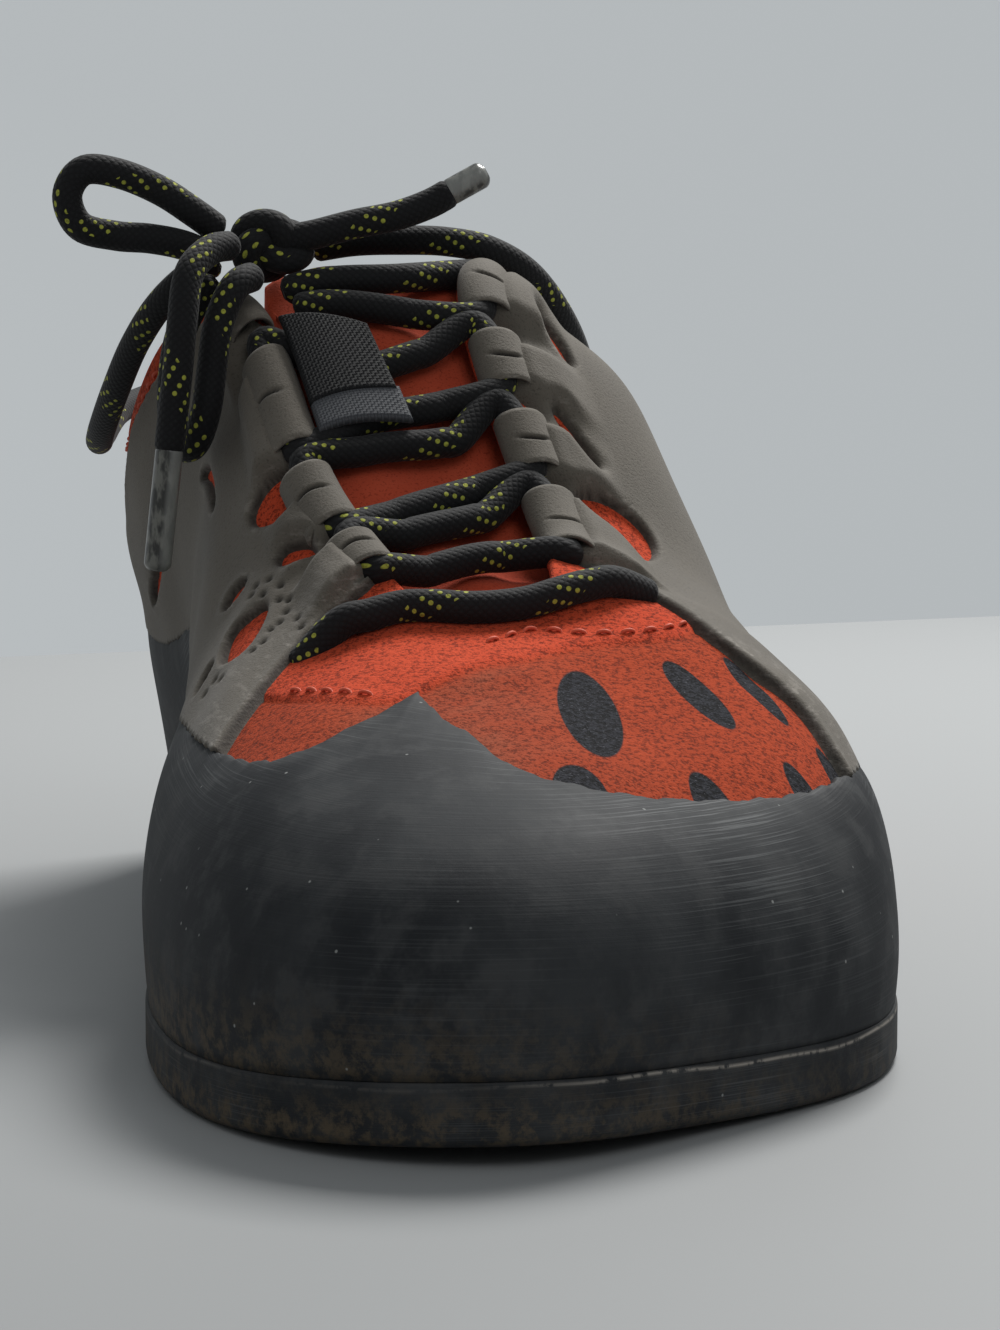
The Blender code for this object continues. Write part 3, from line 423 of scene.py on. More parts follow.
def throat_bridge(share, across, offset=0.0):
    """The tongue's outer surface: across 0 and 1 at the throat's edges, at an offset over it in mm."""
    share, across, offset = np.broadcast_arrays(
        np.asarray(share, float), np.asarray(across, float), np.asarray(offset, float)
    )
    ahead = bridge_point(share + STEP / 2, across) - bridge_point(share - STEP / 2, across)
    sideways = bridge_point(share, across + 2 * STEP) - bridge_point(share, across - 2 * STEP)
    return bridge_point(share, across) + unit(np.cross(sideways, ahead)) * offset[..., None]


def smooth_route(points, spacing=LACE_STEP):
    """Points at an even spacing on a smooth curve through a route's points."""
    points = np.asarray(points, float)
    before = np.vstack([2 * points[0] - points[1], points[:-1]])
    after = np.vstack([points[1:], 2 * points[-1] - points[-2]])
    slope = (after - before) / 2
    t = np.linspace(0, 1, 16, endpoint=False)[:, None]
    fine = [hermite(t, points[i], points[i + 1], slope[i], slope[i + 1]) for i in range(len(points) - 1)]
    fine = np.vstack(fine + [points[-1:]])
    run = runs(fine)
    count = max(2, int(round(run[-1] / spacing)) + 1)
    at = np.linspace(0, run[-1], count)
    return np.stack([np.interp(at, run, fine[:, k]) for k in range(points.shape[1])], -1)


def middle_shift():
    """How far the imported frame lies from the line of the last, so that its origin is mid-width."""
    x, _ = foot_outline(np.linspace(0, 1, 721))
    return np.array([-(x.min() + x.max()) / 2, 0.0, 0.0])


SHIFT = middle_shift()


def to_frame(points):
    """Points of the last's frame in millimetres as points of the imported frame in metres."""
    return (np.asarray(points, float) + SHIFT) * MM


def smooth_step(value, low, high):
    """A soft step from 0 to 1 as a value passes from low to high."""
    t = np.clip((np.asarray(value, float) - low) / (high - low), 0, 1)
    return t * t * (3 - 2 * t)


def bell(value, width):
    """A soft bump that is 1 at 0 and fades over a width."""
    return np.exp(-((value / width) ** 2))


def past_toe(around):
    """How far round the shoe places lie from the toe, positive on the lateral side."""
    return (np.asarray(around, float) + 0.5) % 1.0 - 0.5


def srgb(red, green, blue):
    """A colour given as it looks on a screen, from 0 to 255, as the linear values of a shader."""
    values = np.array([red, green, blue]) / 255.0
    return tuple(np.where(values <= 0.04045, values / 12.92, ((values + 0.055) / 1.055) ** 2.4))


class Look:
    """A material in the making, with short calls for the nodes that these surfaces use."""

    def __init__(self, name, roughness, **sockets):
        self.material = bpy.data.materials.new(name)
        self.material.use_nodes = True
        self.tree = self.material.node_tree
        self.shader = self.tree.nodes["Principled BSDF"]
        self.shader.inputs["Roughness"].default_value = roughness
        for socket, value in sockets.items():
            self.shader.inputs[socket.replace("_", " ")].default_value = value

    def put(self, socket, value):
        """Link an output to a socket, or set a plain number, vector or colour on it."""
        if isinstance(value, bpy.types.NodeSocket):
            self.tree.links.new(value, socket)
        elif isinstance(value, tuple) and socket.type == "RGBA":
            socket.default_value = (*value, 1.0)
        else:
            socket.default_value = value

    def node(self, kind, inputs, **settings):
        """A node with its settings and inputs, by name or number."""
        made = self.tree.nodes.new(kind)
        for setting, value in settings.items():
            setattr(made, setting, value)
        for key, value in inputs.items():
            self.put(made.inputs[key], value)
        return made

    def here(self):
        """The place in the part's own frame, in metres."""
        return self.node("ShaderNodeTexCoord", {}).outputs["Object"]

    def field(self, name):
        """A value that the mesh carries at its points."""
        return self.node("ShaderNodeAttribute", {}, attribute_name=name).outputs["Vector"]

    def split(self, vector):
        """The three parts of a vector."""
        made = self.node("ShaderNodeSeparateXYZ", {0: vector})
        return made.outputs[0], made.outputs[1], made.outputs[2]

    def math(self, operation, first, second=0.0):
        """One sum on numbers."""
        return self.node("ShaderNodeMath", {0: first, 1: second}, operation=operation).outputs[0]

    def plus(self, first, second):
        """Two numbers added."""
        return self.math("ADD", first, second)

    def minus(self, first, second):
        """One number less another."""
        return self.math("SUBTRACT", first, second)

    def times(self, first, second):
        """Two numbers multiplied."""
        return self.math("MULTIPLY", first, second)

    def scaled(self, vector, x, y, z):
        """A vector times a fixed factor along each axis."""
        made = self.node("ShaderNodeVectorMath", {0: vector, 1: (x, y, z)}, operation="MULTIPLY")
        return made.outputs[0]

    def noise(self, vector, scale, detail=3.0, roughness=0.55):
        """Soft noise from 0 to 1."""
        inputs = {"Vector": vector, "Scale": scale, "Detail": detail, "Roughness": roughness}
        return self.node("ShaderNodeTexNoise", inputs).outputs[0]

    def cells(self, vector, scale, output="Distance"):
        """The distance to the nearest of scattered points, in cells."""
        return self.node("ShaderNodeTexVoronoi", {"Vector": vector, "Scale": scale}).outputs[output]

    def ramp(self, value, low, high, to_low=0.0, to_high=1.0):
        """A soft step of a value between two marks."""
        inputs = {0: value, 1: low, 2: high, 3: to_low, 4: to_high}
        return self.node("ShaderNodeMapRange", inputs, interpolation_type="SMOOTHSTEP").outputs[0]

    def mix(self, share, first, second):
        """A colour between two colours."""
        made = self.node("ShaderNodeMix", {0: share, 6: first, 7: second}, data_type="RGBA")
        return made.outputs[2]

    def bump(self, height, depth, strength):
        """A bumped normal from a height, whose full range is a depth in mm."""
        inputs = {"Height": height, "Distance": depth * MM, "Strength": strength}
        return self.node("ShaderNodeBump", inputs).outputs[0]

    def finish(self, colour=None, roughness=None, normal=None):
        """Link what varies to the shader."""
        for socket, value in (("Base Color", colour), ("Roughness", roughness), ("Normal", normal)):
            if value is not None:
                self.put(self.shader.inputs[socket], value)
        return self.material


# The toe panel's printed ovals, in the last's own millimetres: centre, half length, half width and lean.
OVALS = [
    (10.9, -76.3, 13.9, 3.8, -5.0), (27.2, -66.3, 9.1, 2.5, 13.6), (36.1, -60.8, 8.3, 1.6, 14.6),
    (4.6, -104.0, 9.6, 3.6, -5.0), (23.0, -98.4, 9.0, 3.0, 8.0), (37.6, -87.0, 8.0, 2.2, 14.0),
    (43.9, -76.3, 6.8, 1.7, 14.0),
]


def oval_mask(look, x, y):
    """1 inside the printed ovals and 0 outside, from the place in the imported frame."""
    mask = None
    for centre_x, centre_y, half_long, half_wide, lean in OVALS:
        turn = math.radians(lean)
        off_x = look.minus(x, (centre_x + SHIFT[0]) * MM)
        off_y = look.minus(y, centre_y * MM)
        wide, long = half_wide * MM, half_long * MM
        across = look.plus(look.times(off_x, math.cos(turn) / wide), look.times(off_y, math.sin(turn) / wide))
        along = look.minus(look.times(off_y, math.cos(turn) / long), look.times(off_x, math.sin(turn) / long))
        away = look.plus(look.times(across, across), look.times(along, along))
        inside = look.ramp(away, 1.10, 0.98)
        mask = inside if mask is None else look.math("MAXIMUM", mask, inside)
    return mask


def suede_look():
    """Orange-red suede: dark grain, a dusty brown toe panel and printed grey ovals."""
    look = Look("suede_red", 0.92, Sheen_Weight=0.03, Sheen_Roughness=0.5, Specular_IOR_Level=0.08)
    here = look.here()
    x, y, _ = look.split(here)
    band, dust, _ = look.split(look.field("wear_and_painted_light"))
    grain = look.noise(here, 1250.0, 3.0, 0.72)
    fine = look.noise(here, 3000.0, 2.0, 0.60)
    cloud = look.noise(here, 70.0, 4.0, 0.62)
    speck = look.plus(look.times(grain, 0.66), look.times(fine, 0.34))
    toe = look.mix(cloud, srgb(152, 58, 30), srgb(194, 78, 44))
    top = look.mix(cloud, srgb(190, 64, 36), srgb(218, 88, 56))
    base = look.mix(band, toe, top)
    dusty = look.times(dust, look.ramp(cloud, 0.30, 0.68, 0.15, 0.85))
    base = look.mix(dusty, base, srgb(146, 84, 62))
    pepper = look.times(look.ramp(speck, 0.535, 0.40), look.ramp(cloud, 0.2, 0.7, 1.0, 0.8))
    base = look.mix(look.times(pepper, 0.78), base, srgb(62, 20, 12))
    base = look.mix(look.ramp(speck, 0.60, 0.72, 0.0, 0.45), base, srgb(232, 112, 72))
    print_mask = oval_mask(look, x, y)
    stipple = look.mix(look.ramp(speck, 0.56, 0.44), srgb(44, 45, 51), srgb(11, 11, 14))
    # pale flecks on the printed ovals: painted highlights
    stipple = look.mix(look.ramp(fine, 0.62, 0.74, 0.0, 0.7), stipple, srgb(112, 112, 118))
    base = look.mix(print_mask, base, stipple)
    height = look.plus(speck, look.times(cloud, 0.5))
    return look.finish(base, look.ramp(print_mask, 0.0, 1.0, 0.93, 0.85), look.bump(height, 0.50, 0.85))


def harness_look():
    """Warm grey synthetic suede: a soft nap, faint mottling, and painted shade along its cut edges, in its
    slits and in its holes.
    """
    look = Look("harness_grey", 0.80, Sheen_Weight=0.12, Sheen_Roughness=0.5, Specular_IOR_Level=0.18)
    here = look.here()
    shade, rub, _ = look.split(look.field("wear_and_painted_light"))
    nap = look.noise(here, 2600.0, 3.0, 0.65)
    cloud = look.noise(here, 70.0, 4.0, 0.60)
    base = look.mix(cloud, srgb(90, 85, 77), srgb(113, 107, 98))
    base = look.mix(look.ramp(nap, 0.46, 0.32, 0.0, 0.45), base, srgb(58, 54, 49))
    scuff = look.noise(look.scaled(here, 1.0, 0.5, 2.2), 420.0, 4.0, 0.7)
    base = look.mix(look.times(rub, look.ramp(scuff, 0.50, 0.66)), base, srgb(140, 134, 126))
    # painted shade: darker along the cut edges, in the pinholes and in the loops' slits and open ends
    base = look.mix(shade, base, srgb(20, 18, 17))
    height = look.plus(nap, look.times(cloud, 0.8))
    return look.finish(base, look.ramp(cloud, 0.2, 0.8, 0.74, 0.86), look.bump(height, 0.20, 0.6))


def rubber_look():
    """Matt charcoal rubber: brushed scratches round the shoe, pale specks, chalk dust with a painted
    highlight along the rand's top edge, and brown dirt low down.
    """
    look = Look("rubber_charcoal", 0.70, Specular_IOR_Level=0.15)
    here = look.here()
    place = look.field("place")
    dirt, chalk_and_painted_highlight, glue = look.split(look.field("wear_and_painted_light"))
    cloud = look.noise(here, 38.0, 5.0, 0.62)
    brushed = look.noise(look.scaled(place, 0.040, 2.6, 1.0), 1.0, 2.0, 0.60)
    patch = look.noise(here, 34.0, 2.0, 0.5)
    streak = look.times(look.ramp(brushed, 0.53, 0.64), look.ramp(patch, 0.36, 0.60))
    streak = look.times(streak, look.plus(look.times(chalk_and_painted_highlight, 1.1), 0.14))
    fine = look.noise(here, 1300.0, 3.0, 0.65)
    blotch = look.noise(here, 150.0, 4.0, 0.65)
    base = look.mix(look.ramp(cloud, 0.34, 0.68), srgb(36, 38, 41), srgb(58, 60, 62))
    base = look.mix(look.ramp(blotch, 0.46, 0.66, 0.0, 0.6), base, srgb(66, 67, 68))
    base = look.mix(look.times(streak, 0.62), base, srgb(112, 114, 115))
    # lighter grey: chalk dust on the lateral toe, and a painted highlight along the rand's top edge
    bloom = look.times(chalk_and_painted_highlight, look.ramp(cloud, 0.35, 0.70, 0.25, 1.0))
    base = look.mix(look.times(bloom, 0.35), base, srgb(74, 75, 76))
    soil = look.times(dirt, look.ramp(look.noise(here, 420.0, 5.0, 0.72), 0.42, 0.62))
    base = look.mix(look.times(soil, 0.85), base, srgb(98, 86, 69))
    broken = look.ramp(look.noise(here, 420.0, 4.0, 0.7), 0.38, 0.50)
    base = look.mix(look.times(glue, broken), base, srgb(158, 152, 144))
    speck_size = look.cells(here, 260.0)
    speck_pick = look.ramp(look.cells(here, 260.0, output="Color"), 0.48, 0.54)
    spots = look.times(look.ramp(speck_size, 0.070, 0.035), speck_pick)
    base = look.mix(look.times(spots, 0.70), base, srgb(160, 162, 160))
    rough = look.minus(look.ramp(cloud, 0.25, 0.75, 0.64, 0.78), look.times(streak, 0.08))
    height = look.plus(look.times(fine, 0.5), look.times(brushed, 0.6))
    return look.finish(base, rough, look.bump(height, 0.08, 0.7))


def tongue_look():
    """Soft orange microfibre, with a darker fine nap and a cloudy tone."""
    look = Look("tongue_orange", 0.85, Sheen_Weight=0.08, Sheen_Roughness=0.45, Specular_IOR_Level=0.10)
    here = look.here()
    nap = look.noise(here, 2400.0, 3.0, 0.65)
    cloud = look.noise(here, 90.0, 4.0, 0.6)
    base = look.mix(cloud, srgb(184, 68, 44), srgb(212, 94, 66))
    base = look.mix(look.ramp(nap, 0.46, 0.34, 0.0, 0.5), base, srgb(128, 42, 28))
    height = look.plus(nap, cloud)
    return look.finish(base, 0.88, look.bump(height, 0.2, 0.6))


def lace_look():
    """Black braided lace with small yellow-green dots in slanting groups."""
    look = Look("lace_black", 0.72, Sheen_Weight=0.08, Specular_IOR_Level=0.3)
    along, side_x, side_y = look.split(look.field("place"))
    plait = 1.15
    around_count = 12.0
    repeat = 19.0
    p = look.math("DIVIDE", along, plait)
    turn = look.math("ARCTAN2", side_y, side_x)
    q = look.times(turn, around_count / (2 * math.pi))
    one = look.math("SINE", look.times(look.plus(p, q), math.pi))
    two = look.math("SINE", look.times(look.minus(p, q), math.pi))
    braid = look.times(look.math("ABSOLUTE", one), look.math("ABSOLUTE", two))
    row = look.math("FLOOR", p)
    shifted = look.plus(q, look.times(row, 0.5))
    off_p = look.minus(look.math("FRACT", p), 0.5)
    off_q = look.minus(look.math("FRACT", shifted), 0.5)
    away = look.plus(look.times(off_p, off_p), look.times(off_q, off_q))
    dot = look.ramp(away, 0.120, 0.060)
    slant = look.math("DIVIDE", look.plus(along, look.times(turn, 2.7)), repeat)
    group = look.math("LESS_THAN", look.math("FRACT", slant), 0.30)
    cell = look.math("FLOOR", shifted)
    skip = look.math("GREATER_THAN", look.math("FLOORED_MODULO", look.plus(cell, row), 2.0), 0.5)
    dots = look.times(look.times(dot, group), skip)
    fluff = look.noise(look.here(), 2200.0, 2.0)
    base = look.mix(look.times(braid, fluff), srgb(13, 13, 15), srgb(28, 29, 31))
    base = look.mix(look.times(dots, look.ramp(fluff, 0.25, 0.55, 0.45, 0.95)), base, srgb(172, 176, 68))
    height = look.plus(braid, look.times(dots, 0.4))
    return look.finish(base, 0.80, look.bump(height, 0.11, 0.6))


def webbing_look(name, dark, light, size):
    """A plain weave of two close colours, by threads of a size in mm."""
    look = Look(name, 0.7, Sheen_Weight=0.02, Specular_IOR_Level=0.2)
    along, across, _ = look.split(look.field("place"))
    p = look.math("DIVIDE", along, size)
    q = look.math("DIVIDE", across, size)
    warp = look.math("ABSOLUTE", look.math("SINE", look.times(p, math.pi)))
    weft = look.math("ABSOLUTE", look.math("SINE", look.times(q, math.pi)))
    odd = look.math("FLOORED_MODULO", look.plus(look.math("FLOOR", p), look.math("FLOOR", q)), 2.0)
    over = look.plus(look.times(odd, warp), look.times(look.minus(1.0, odd), weft))
    return look.finish(look.mix(over, dark, light), 0.7, look.bump(over, 0.10, 0.7))


def thread_look(name, dark, light):
    """Sewing thread, a little uneven in colour."""
    look = Look(name, 0.6, Specular_IOR_Level=0.3)
    cloud = look.noise(look.here(), 900.0, 2.0)
    return look.finish(look.mix(cloud, dark, light), 0.6)


def lining_look():
    """Grey-brown lining cloth with a fine knit."""
    look = Look("lining_cloth", 0.9, Sheen_Weight=0.2, Specular_IOR_Level=0.15)
    here = look.here()
    knit = look.cells(here, 900.0)
    cloud = look.noise(here, 60.0, 3.0)
    base = look.mix(cloud, srgb(112, 104, 94), srgb(136, 126, 114))
    base = look.mix(look.ramp(knit, 0.55, 0.85, 0.0, 0.6), base, srgb(70, 64, 58))
    return look.finish(base, 0.9, look.bump(knit, 0.25, 0.7))


def tip_look():
    """A clear plastic tip shrunk over the lace's end, which shows pale through it, with a painted highlight
    along its two sides.
    """
    look = Look("tip_clear", 0.30, Coat_Weight=0.3, Coat_Roughness=0.2, Specular_IOR_Level=0.4)
    _, side_x, _ = look.split(look.field("place"))
    weave = look.noise(look.scaled(look.here(), 1.0, 1.0, 0.35), 900.0, 3.0)
    base = look.mix(look.ramp(weave, 0.42, 0.62), srgb(52, 52, 50), srgb(112, 112, 106))
    # painted highlight: paler towards the tip's two sides
    rim = look.ramp(look.math("ABSOLUTE", side_x), 0.55, 0.95)
    base = look.mix(look.times(rim, 0.6), base, srgb(158, 160, 156))
    return look.finish(base, 0.30, look.bump(weave, 0.10, 0.5))


def stage_look(name, colour, glow=0.0):
    """A plain matt studio surface, which may glow softly as a lit wall does."""
    colours = {"Base_Color": (*colour, 1.0), "Emission_Color": (*srgb(184, 188, 190), 1.0)}
    return Look(name, 0.55, Specular_IOR_Level=0.25, Emission_Strength=glow, **colours).material


MATERIALS = {
    "suede": suede_look(),
    "harness": harness_look(),
    "rubber": rubber_look(),
    "tongue": tongue_look(),
    "lace": lace_look(),
    "webbing": webbing_look("webbing_black", srgb(11, 12, 14), srgb(23, 24, 26), 0.5),
    "satin": webbing_look("satin_grey", srgb(58, 60, 64), srgb(82, 84, 88), 0.45),
    "thread": thread_look("thread_coral", srgb(206, 70, 46), srgb(232, 118, 88)),
    "lining": lining_look(),
    "tip": tip_look(),
}


def grid_faces(count, rows, round_along=False, round_across=False, start=0):
    """Corner numbers of the quads between count lines of rows points each."""
    i = np.arange(count if round_along else count - 1)
    j = np.arange(rows if round_across else rows - 1)
    i, j = np.meshgrid(i, j, indexing="ij")
    k, m = (i + 1) % count, (j + 1) % rows
    corners = np.stack([i * rows + j, k * rows + j, k * rows + m, i * rows + m], -1)
    return corners.reshape(-1, 4) + start


def add_object(name, data):
    """A new object in the scene, of a mesh, light or camera."""
    thing = bpy.data.objects.new(name, data)
    bpy.context.scene.collection.objects.link(thing)
    return thing


def aim_from(thing, place, aim):
    """Stand a light or camera at a place and turn it towards a point."""
    thing.location = place
    thing.rotation_euler = (Vector(aim) - Vector(place)).to_track_quat("-Z", "Y").to_euler()


def make_piece(name, points, faces, look, fields=None, replaces=()):
    """A smooth mesh from points in mm, riding on the shoe, with the values that its material reads."""
    mesh = bpy.data.meshes.new(name)
    points = np.asarray(points, float).reshape(-1, 3)
    mesh.from_pydata(to_frame(points).tolist(), [], [list(face) for face in faces])
    for field, values in (fields or {}).items():
        attribute = mesh.attributes.new(field, "FLOAT_VECTOR", "POINT")
        attribute.data.foreach_set("vector", np.asarray(values, np.float32).reshape(-1))
    mesh.shade_smooth()
    mesh.materials.append(MATERIALS[look])
    piece = add_object(name, mesh)
    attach(piece, "root")
    if replaces:
        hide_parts(*replaces)
    return piece


def field(first, second=0.0, third=0.0):
    """Three values at each point of a grid, as a vector that a mesh carries."""
    return np.stack(np.broadcast_arrays(*(np.asarray(value, float) for value in (first, second, third))), -1)


# The seam between the toe panel and the band over it, as (around, up), and the stitch rows beside it.
TOE_SEAM = [
    (-0.160, 0.520), (-0.147, 0.590), (-0.129, 0.640), (-0.092, 0.708), (-0.061, 0.745), (-0.044, 0.775),
    (-0.035, 0.810), (-0.014, 0.862), (0.024, 0.880), (0.085, 0.865), (0.120, 0.820), (0.142, 0.780),
    (0.165, 0.745), (0.188, 0.700), (0.215, 0.640),
]
# Soft creases: (around, up), half length and half width in mm, height in mm, lean in degrees.
CREASES = [
    (0.985, 0.800, 22.0, 3.5, -0.55, 8.0), (0.030, 0.845, 26.0, 3.0, 0.40, 0.0),
    (0.070, 0.560, 30.0, 7.0, 0.50, -4.0), (0.930, 0.620, 16.0, 5.0, -0.50, 30.0),
    (0.150, 0.620, 18.0, 4.0, -0.40, -28.0), (0.400, 0.620, 16.0, 3.5, -0.70, 60.0),
    (0.420, 0.780, 14.0, 3.0, -0.55, 20.0), (0.620, 0.640, 16.0, 3.5, -0.70, -60.0),
    (0.600, 0.800, 14.0, 3.0, -0.50, -20.0), (0.512, 0.820, 20.0, 4.0, -0.50, 0.0),
    (0.460, 0.700, 12.0, 3.0, 0.40, 40.0), (0.560, 0.700, 12.0, 3.0, 0.40, -40.0),
]


def crease_height(around, up):
    """How far the suede lies above or below the last, by the creases, in mm."""
    height = np.zeros_like(around)
    for centre, level, half_long, half_wide, high, lean in CREASES:
        along, over = past_toe(around - centre) * ROUND_LENGTH * 0.75, (up - level) * RIB_LENGTH
        turn = math.radians(lean)
        s = along * math.cos(turn) + over * math.sin(turn)
        t = over * math.cos(turn) - along * math.sin(turn)
        height += high * bell(s, half_long) * bell(t, half_wide)
    return height


def seam_height(around):
    """How far up the rib the toe seam runs, and nothing round the rest of the shoe."""
    knots, values = zip(*TOE_SEAM)
    turned = past_toe(around)
    inside = (turned > knots[0]) & (turned < knots[-1])
    return np.where(inside, open_curve(knots, values, np.clip(turned, knots[0], knots[-1])), 0.0)


def suede_fields(around, up):
    """The suede's relief in mm and the field its material reads: the band above the toe seam and the dust
    below it.
    """
    over_seam = (up - seam_height(around)) * RIB_LENGTH
    band = smooth_step(over_seam, -0.5, 0.5)
    step = 0.45 * band - 0.25 * bell(over_seam, 0.8)
    turned = past_toe(around)
    dust = smooth_step(-over_seam, 0.0, 3.0) * bell(turned + 0.02, 0.045)
    return crease_height(around, up) + step, field(band, dust)


def make_upper():
    """The suede upper with a rounded rim, and the lining inside it."""
    count = 620
    around = np.arange(count) / count
    low_rows = np.linspace(0.0, 0.36, 10, endpoint=False)
    high_rows = np.linspace(0.36, 1.0, 84)
    outer_up = np.concatenate([low_rows, high_rows])
    suede = WALL * 0.7
    rim = np.linspace(0, math.pi, 7)[1:-1]
    rim_high = suede / 2 / RIB_LENGTH
    rim_up = 1 + rim_high * np.sin(rim) - rim_high
    inner_up = np.linspace(1.0, 0.0, 26) - rim_high
    up = np.concatenate([outer_up - rim_high * outer_up, rim_up, np.clip(inner_up, 0, 1)])
    offset = np.concatenate(
        [np.zeros_like(outer_up), suede / 2 * (np.cos(rim) - 1), np.full_like(inner_up, -suede)]
    )
    shown = np.concatenate([np.ones_like(outer_up), (1 + np.cos(rim)) / 2, np.zeros_like(inner_up)])
    places, heights = np.meshgrid(around, up, indexing="ij")
    relief, wear_and_painted_light = suede_fields(places, heights)
    points = surface(places, heights, offset[None, :] + relief * shown[None, :])
    faces = grid_faces(count, len(up), round_along=True, round_across=True)
    make_piece("upper_suede", points, faces, "suede", {"wear_and_painted_light": wear_and_painted_light}, ["upper"])
    make_lining(around[::2], suede)


def make_lining(around, suede):
    """The cloth lining: a thin closed skin inside the suede, ending just below the rim."""
    up = np.concatenate([np.linspace(0.02, 0.975, 30), np.linspace(0.975, 0.02, 30)])
    lift = WALL - suede - 0.1
    offset = np.concatenate([np.full(30, -suede - 0.05), np.full(30, -suede - 0.05 - lift)])
    places, heights = np.meshgrid(around, up, indexing="ij")
    points = surface(places, heights, offset[None, :])
    faces = grid_faces(len(around), len(up), round_along=True, round_across=True)
    make_piece("upper_lining", points, faces, "lining")


def rand_ripple(around, up):
    """The rand's soft unevenness over the toes and the crease lines beside the ball, in mm."""
    turned = past_toe(around)
    wave = 0.35 * np.sin(turned * 34 + up * 3) * np.sin(up * 7)
    toes = 0.6 * bell(turned - 0.035, 0.03) * bell(up - 0.33, 0.16)
    hollow = -0.7 * bell(turned + 0.045, 0.016) * bell(up - 0.48, 0.20)
    return wave + toes + hollow


# The rand's cut top edge and its back, as (share up the rand, offset in mm, how much of the ripple shows).
RAND_LIP = [
    (0.982, 1.22, 0.8), (0.990, 1.12, 0.6), (0.996, 0.92, 0.4), (1.0, 0.55, 0.2), (1.0, -0.3, 0.0),
    (0.97, -0.5, 0.0), (0.5, 0.1, 0.0), (0.0, 0.1, 0.0),
]
RAND_ROWS = 60


def make_rand(name, node, start, end):
    """A rubber rand from one joint at the arch to the other, with a cut top edge that is a little uneven."""
    seam = FIT_GAP / 2 / ROUND_LENGTH
    count = int((end - start) * ROUND_LENGTH / MESH_STEP)
    around = np.linspace(start + seam, end - seam, count)
    uneven = 0.25 * np.sin(around * 410) + 0.12 * np.sin(around * 953 + 1) + 0.06 * np.sin(around * 1811)
    edge = edge_height(around) + uneven / RIB_LENGTH
    climb = np.linspace(0, 0.97, RAND_ROWS)
    lip_share, lip_shape, lip_shown = np.array(RAND_LIP).T
    share = np.concatenate([climb**0.9, lip_share])
    shape = np.concatenate([FIT_GAP + RAND_THICKNESS - RAND_THICKNESS * 0.5 * climb**8, lip_shape])
    shown = np.concatenate([np.ones(RAND_ROWS), lip_shown])
    places = np.repeat(around[:, None], len(share), axis=1)
    up = edge[:, None] * share[None, :]
    offset = shape[None, :] + rand_ripple(places, up) * shown[None, :] * smooth_step(up, 0.02, 0.15)
    points = surface(places, up, offset)
    seat = ground(points[..., 0], points[..., 1]) + SOLE_THICKNESS + 0.05
    points[..., 2] = np.maximum(points[..., 2], seat)
    turned = past_toe(places)
    dirt = bell(up * RIB_LENGTH, 7.0) * smooth_step(-turned, -0.08, 0.06) * 0.75
    rubbed = smooth_step(turned, 0.00, 0.09) * smooth_step(up, 0.05, 0.30)
    # a painted highlight in a band along the rand's top edge, plus chalk scuffs on the lateral toe
    chalk_and_painted_highlight = 0.40 * bell(up - edge[:, None] + 0.03, 0.06) + 0.65 * rubbed
    faces = grid_faces(count, len(share), round_across=True).tolist()
    first, last = range(len(share)), range((count - 1) * len(share), count * len(share))
    faces += [first[::-1], last]
    place = field(places * ROUND_LENGTH, up * RIB_LENGTH)
    make_piece(name, points, faces, "rubber", {"wear_and_painted_light": field(dirt, chalk_and_painted_highlight), "place": place}, [node])


def foot_rings(around, insets, heights):
    """Rings of points over the sole's outline, drawn in from its edge towards the line along its middle."""
    mirror = np.interp(around, [0, HEEL_STATION, 1], [1, HEEL_STATION, 0])
    x, y = foot_outline(around)
    other, _ = foot_outline(mirror)
    spine_y = np.clip(y, -LENGTH / 2 + 22, LENGTH / 2 - 16)
    spine_x = np.interp(spine_y, y[around <= HEEL_STATION], ((x + other) / 2)[around <= HEEL_STATION])
    rings = []
    for inset, height in zip(insets, heights):
        share = np.clip(1 - inset, 0, 1)
        ring_x, ring_y = spine_x + (x - spine_x) * share, spine_y + (y - spine_y) * share
        rings.append(np.stack([ring_x, ring_y, height(ring_x, ring_y)], -1))
    return np.stack(rings, 1)


def edge_rings(around, section, level):
    """Rings beside the sole's outline, from a section of (inset, height) over a level, in mm."""
    rings = []
    for inset, height in section:
        x, y = foot_outline(around, inset)
        rings.append(np.stack([x, y, level(x, y) + height], -1))
    return np.stack(rings, 1)


# The sole's upper rim, as (inset, drop below its top) in mm, with close rows for the line of glue.
TOP_RIM = [
    (0.0, 1.30), (0.0, 1.10), (0.0, 0.94), (0.01, 0.78), (0.02, 0.62), (0.04, 0.46), (0.07, 0.30),
    (0.13, 0.14), (0.26, 0.04), (0.6, 0.0), (3.0, 0.0),
]
GLUE_DROP = 0.62


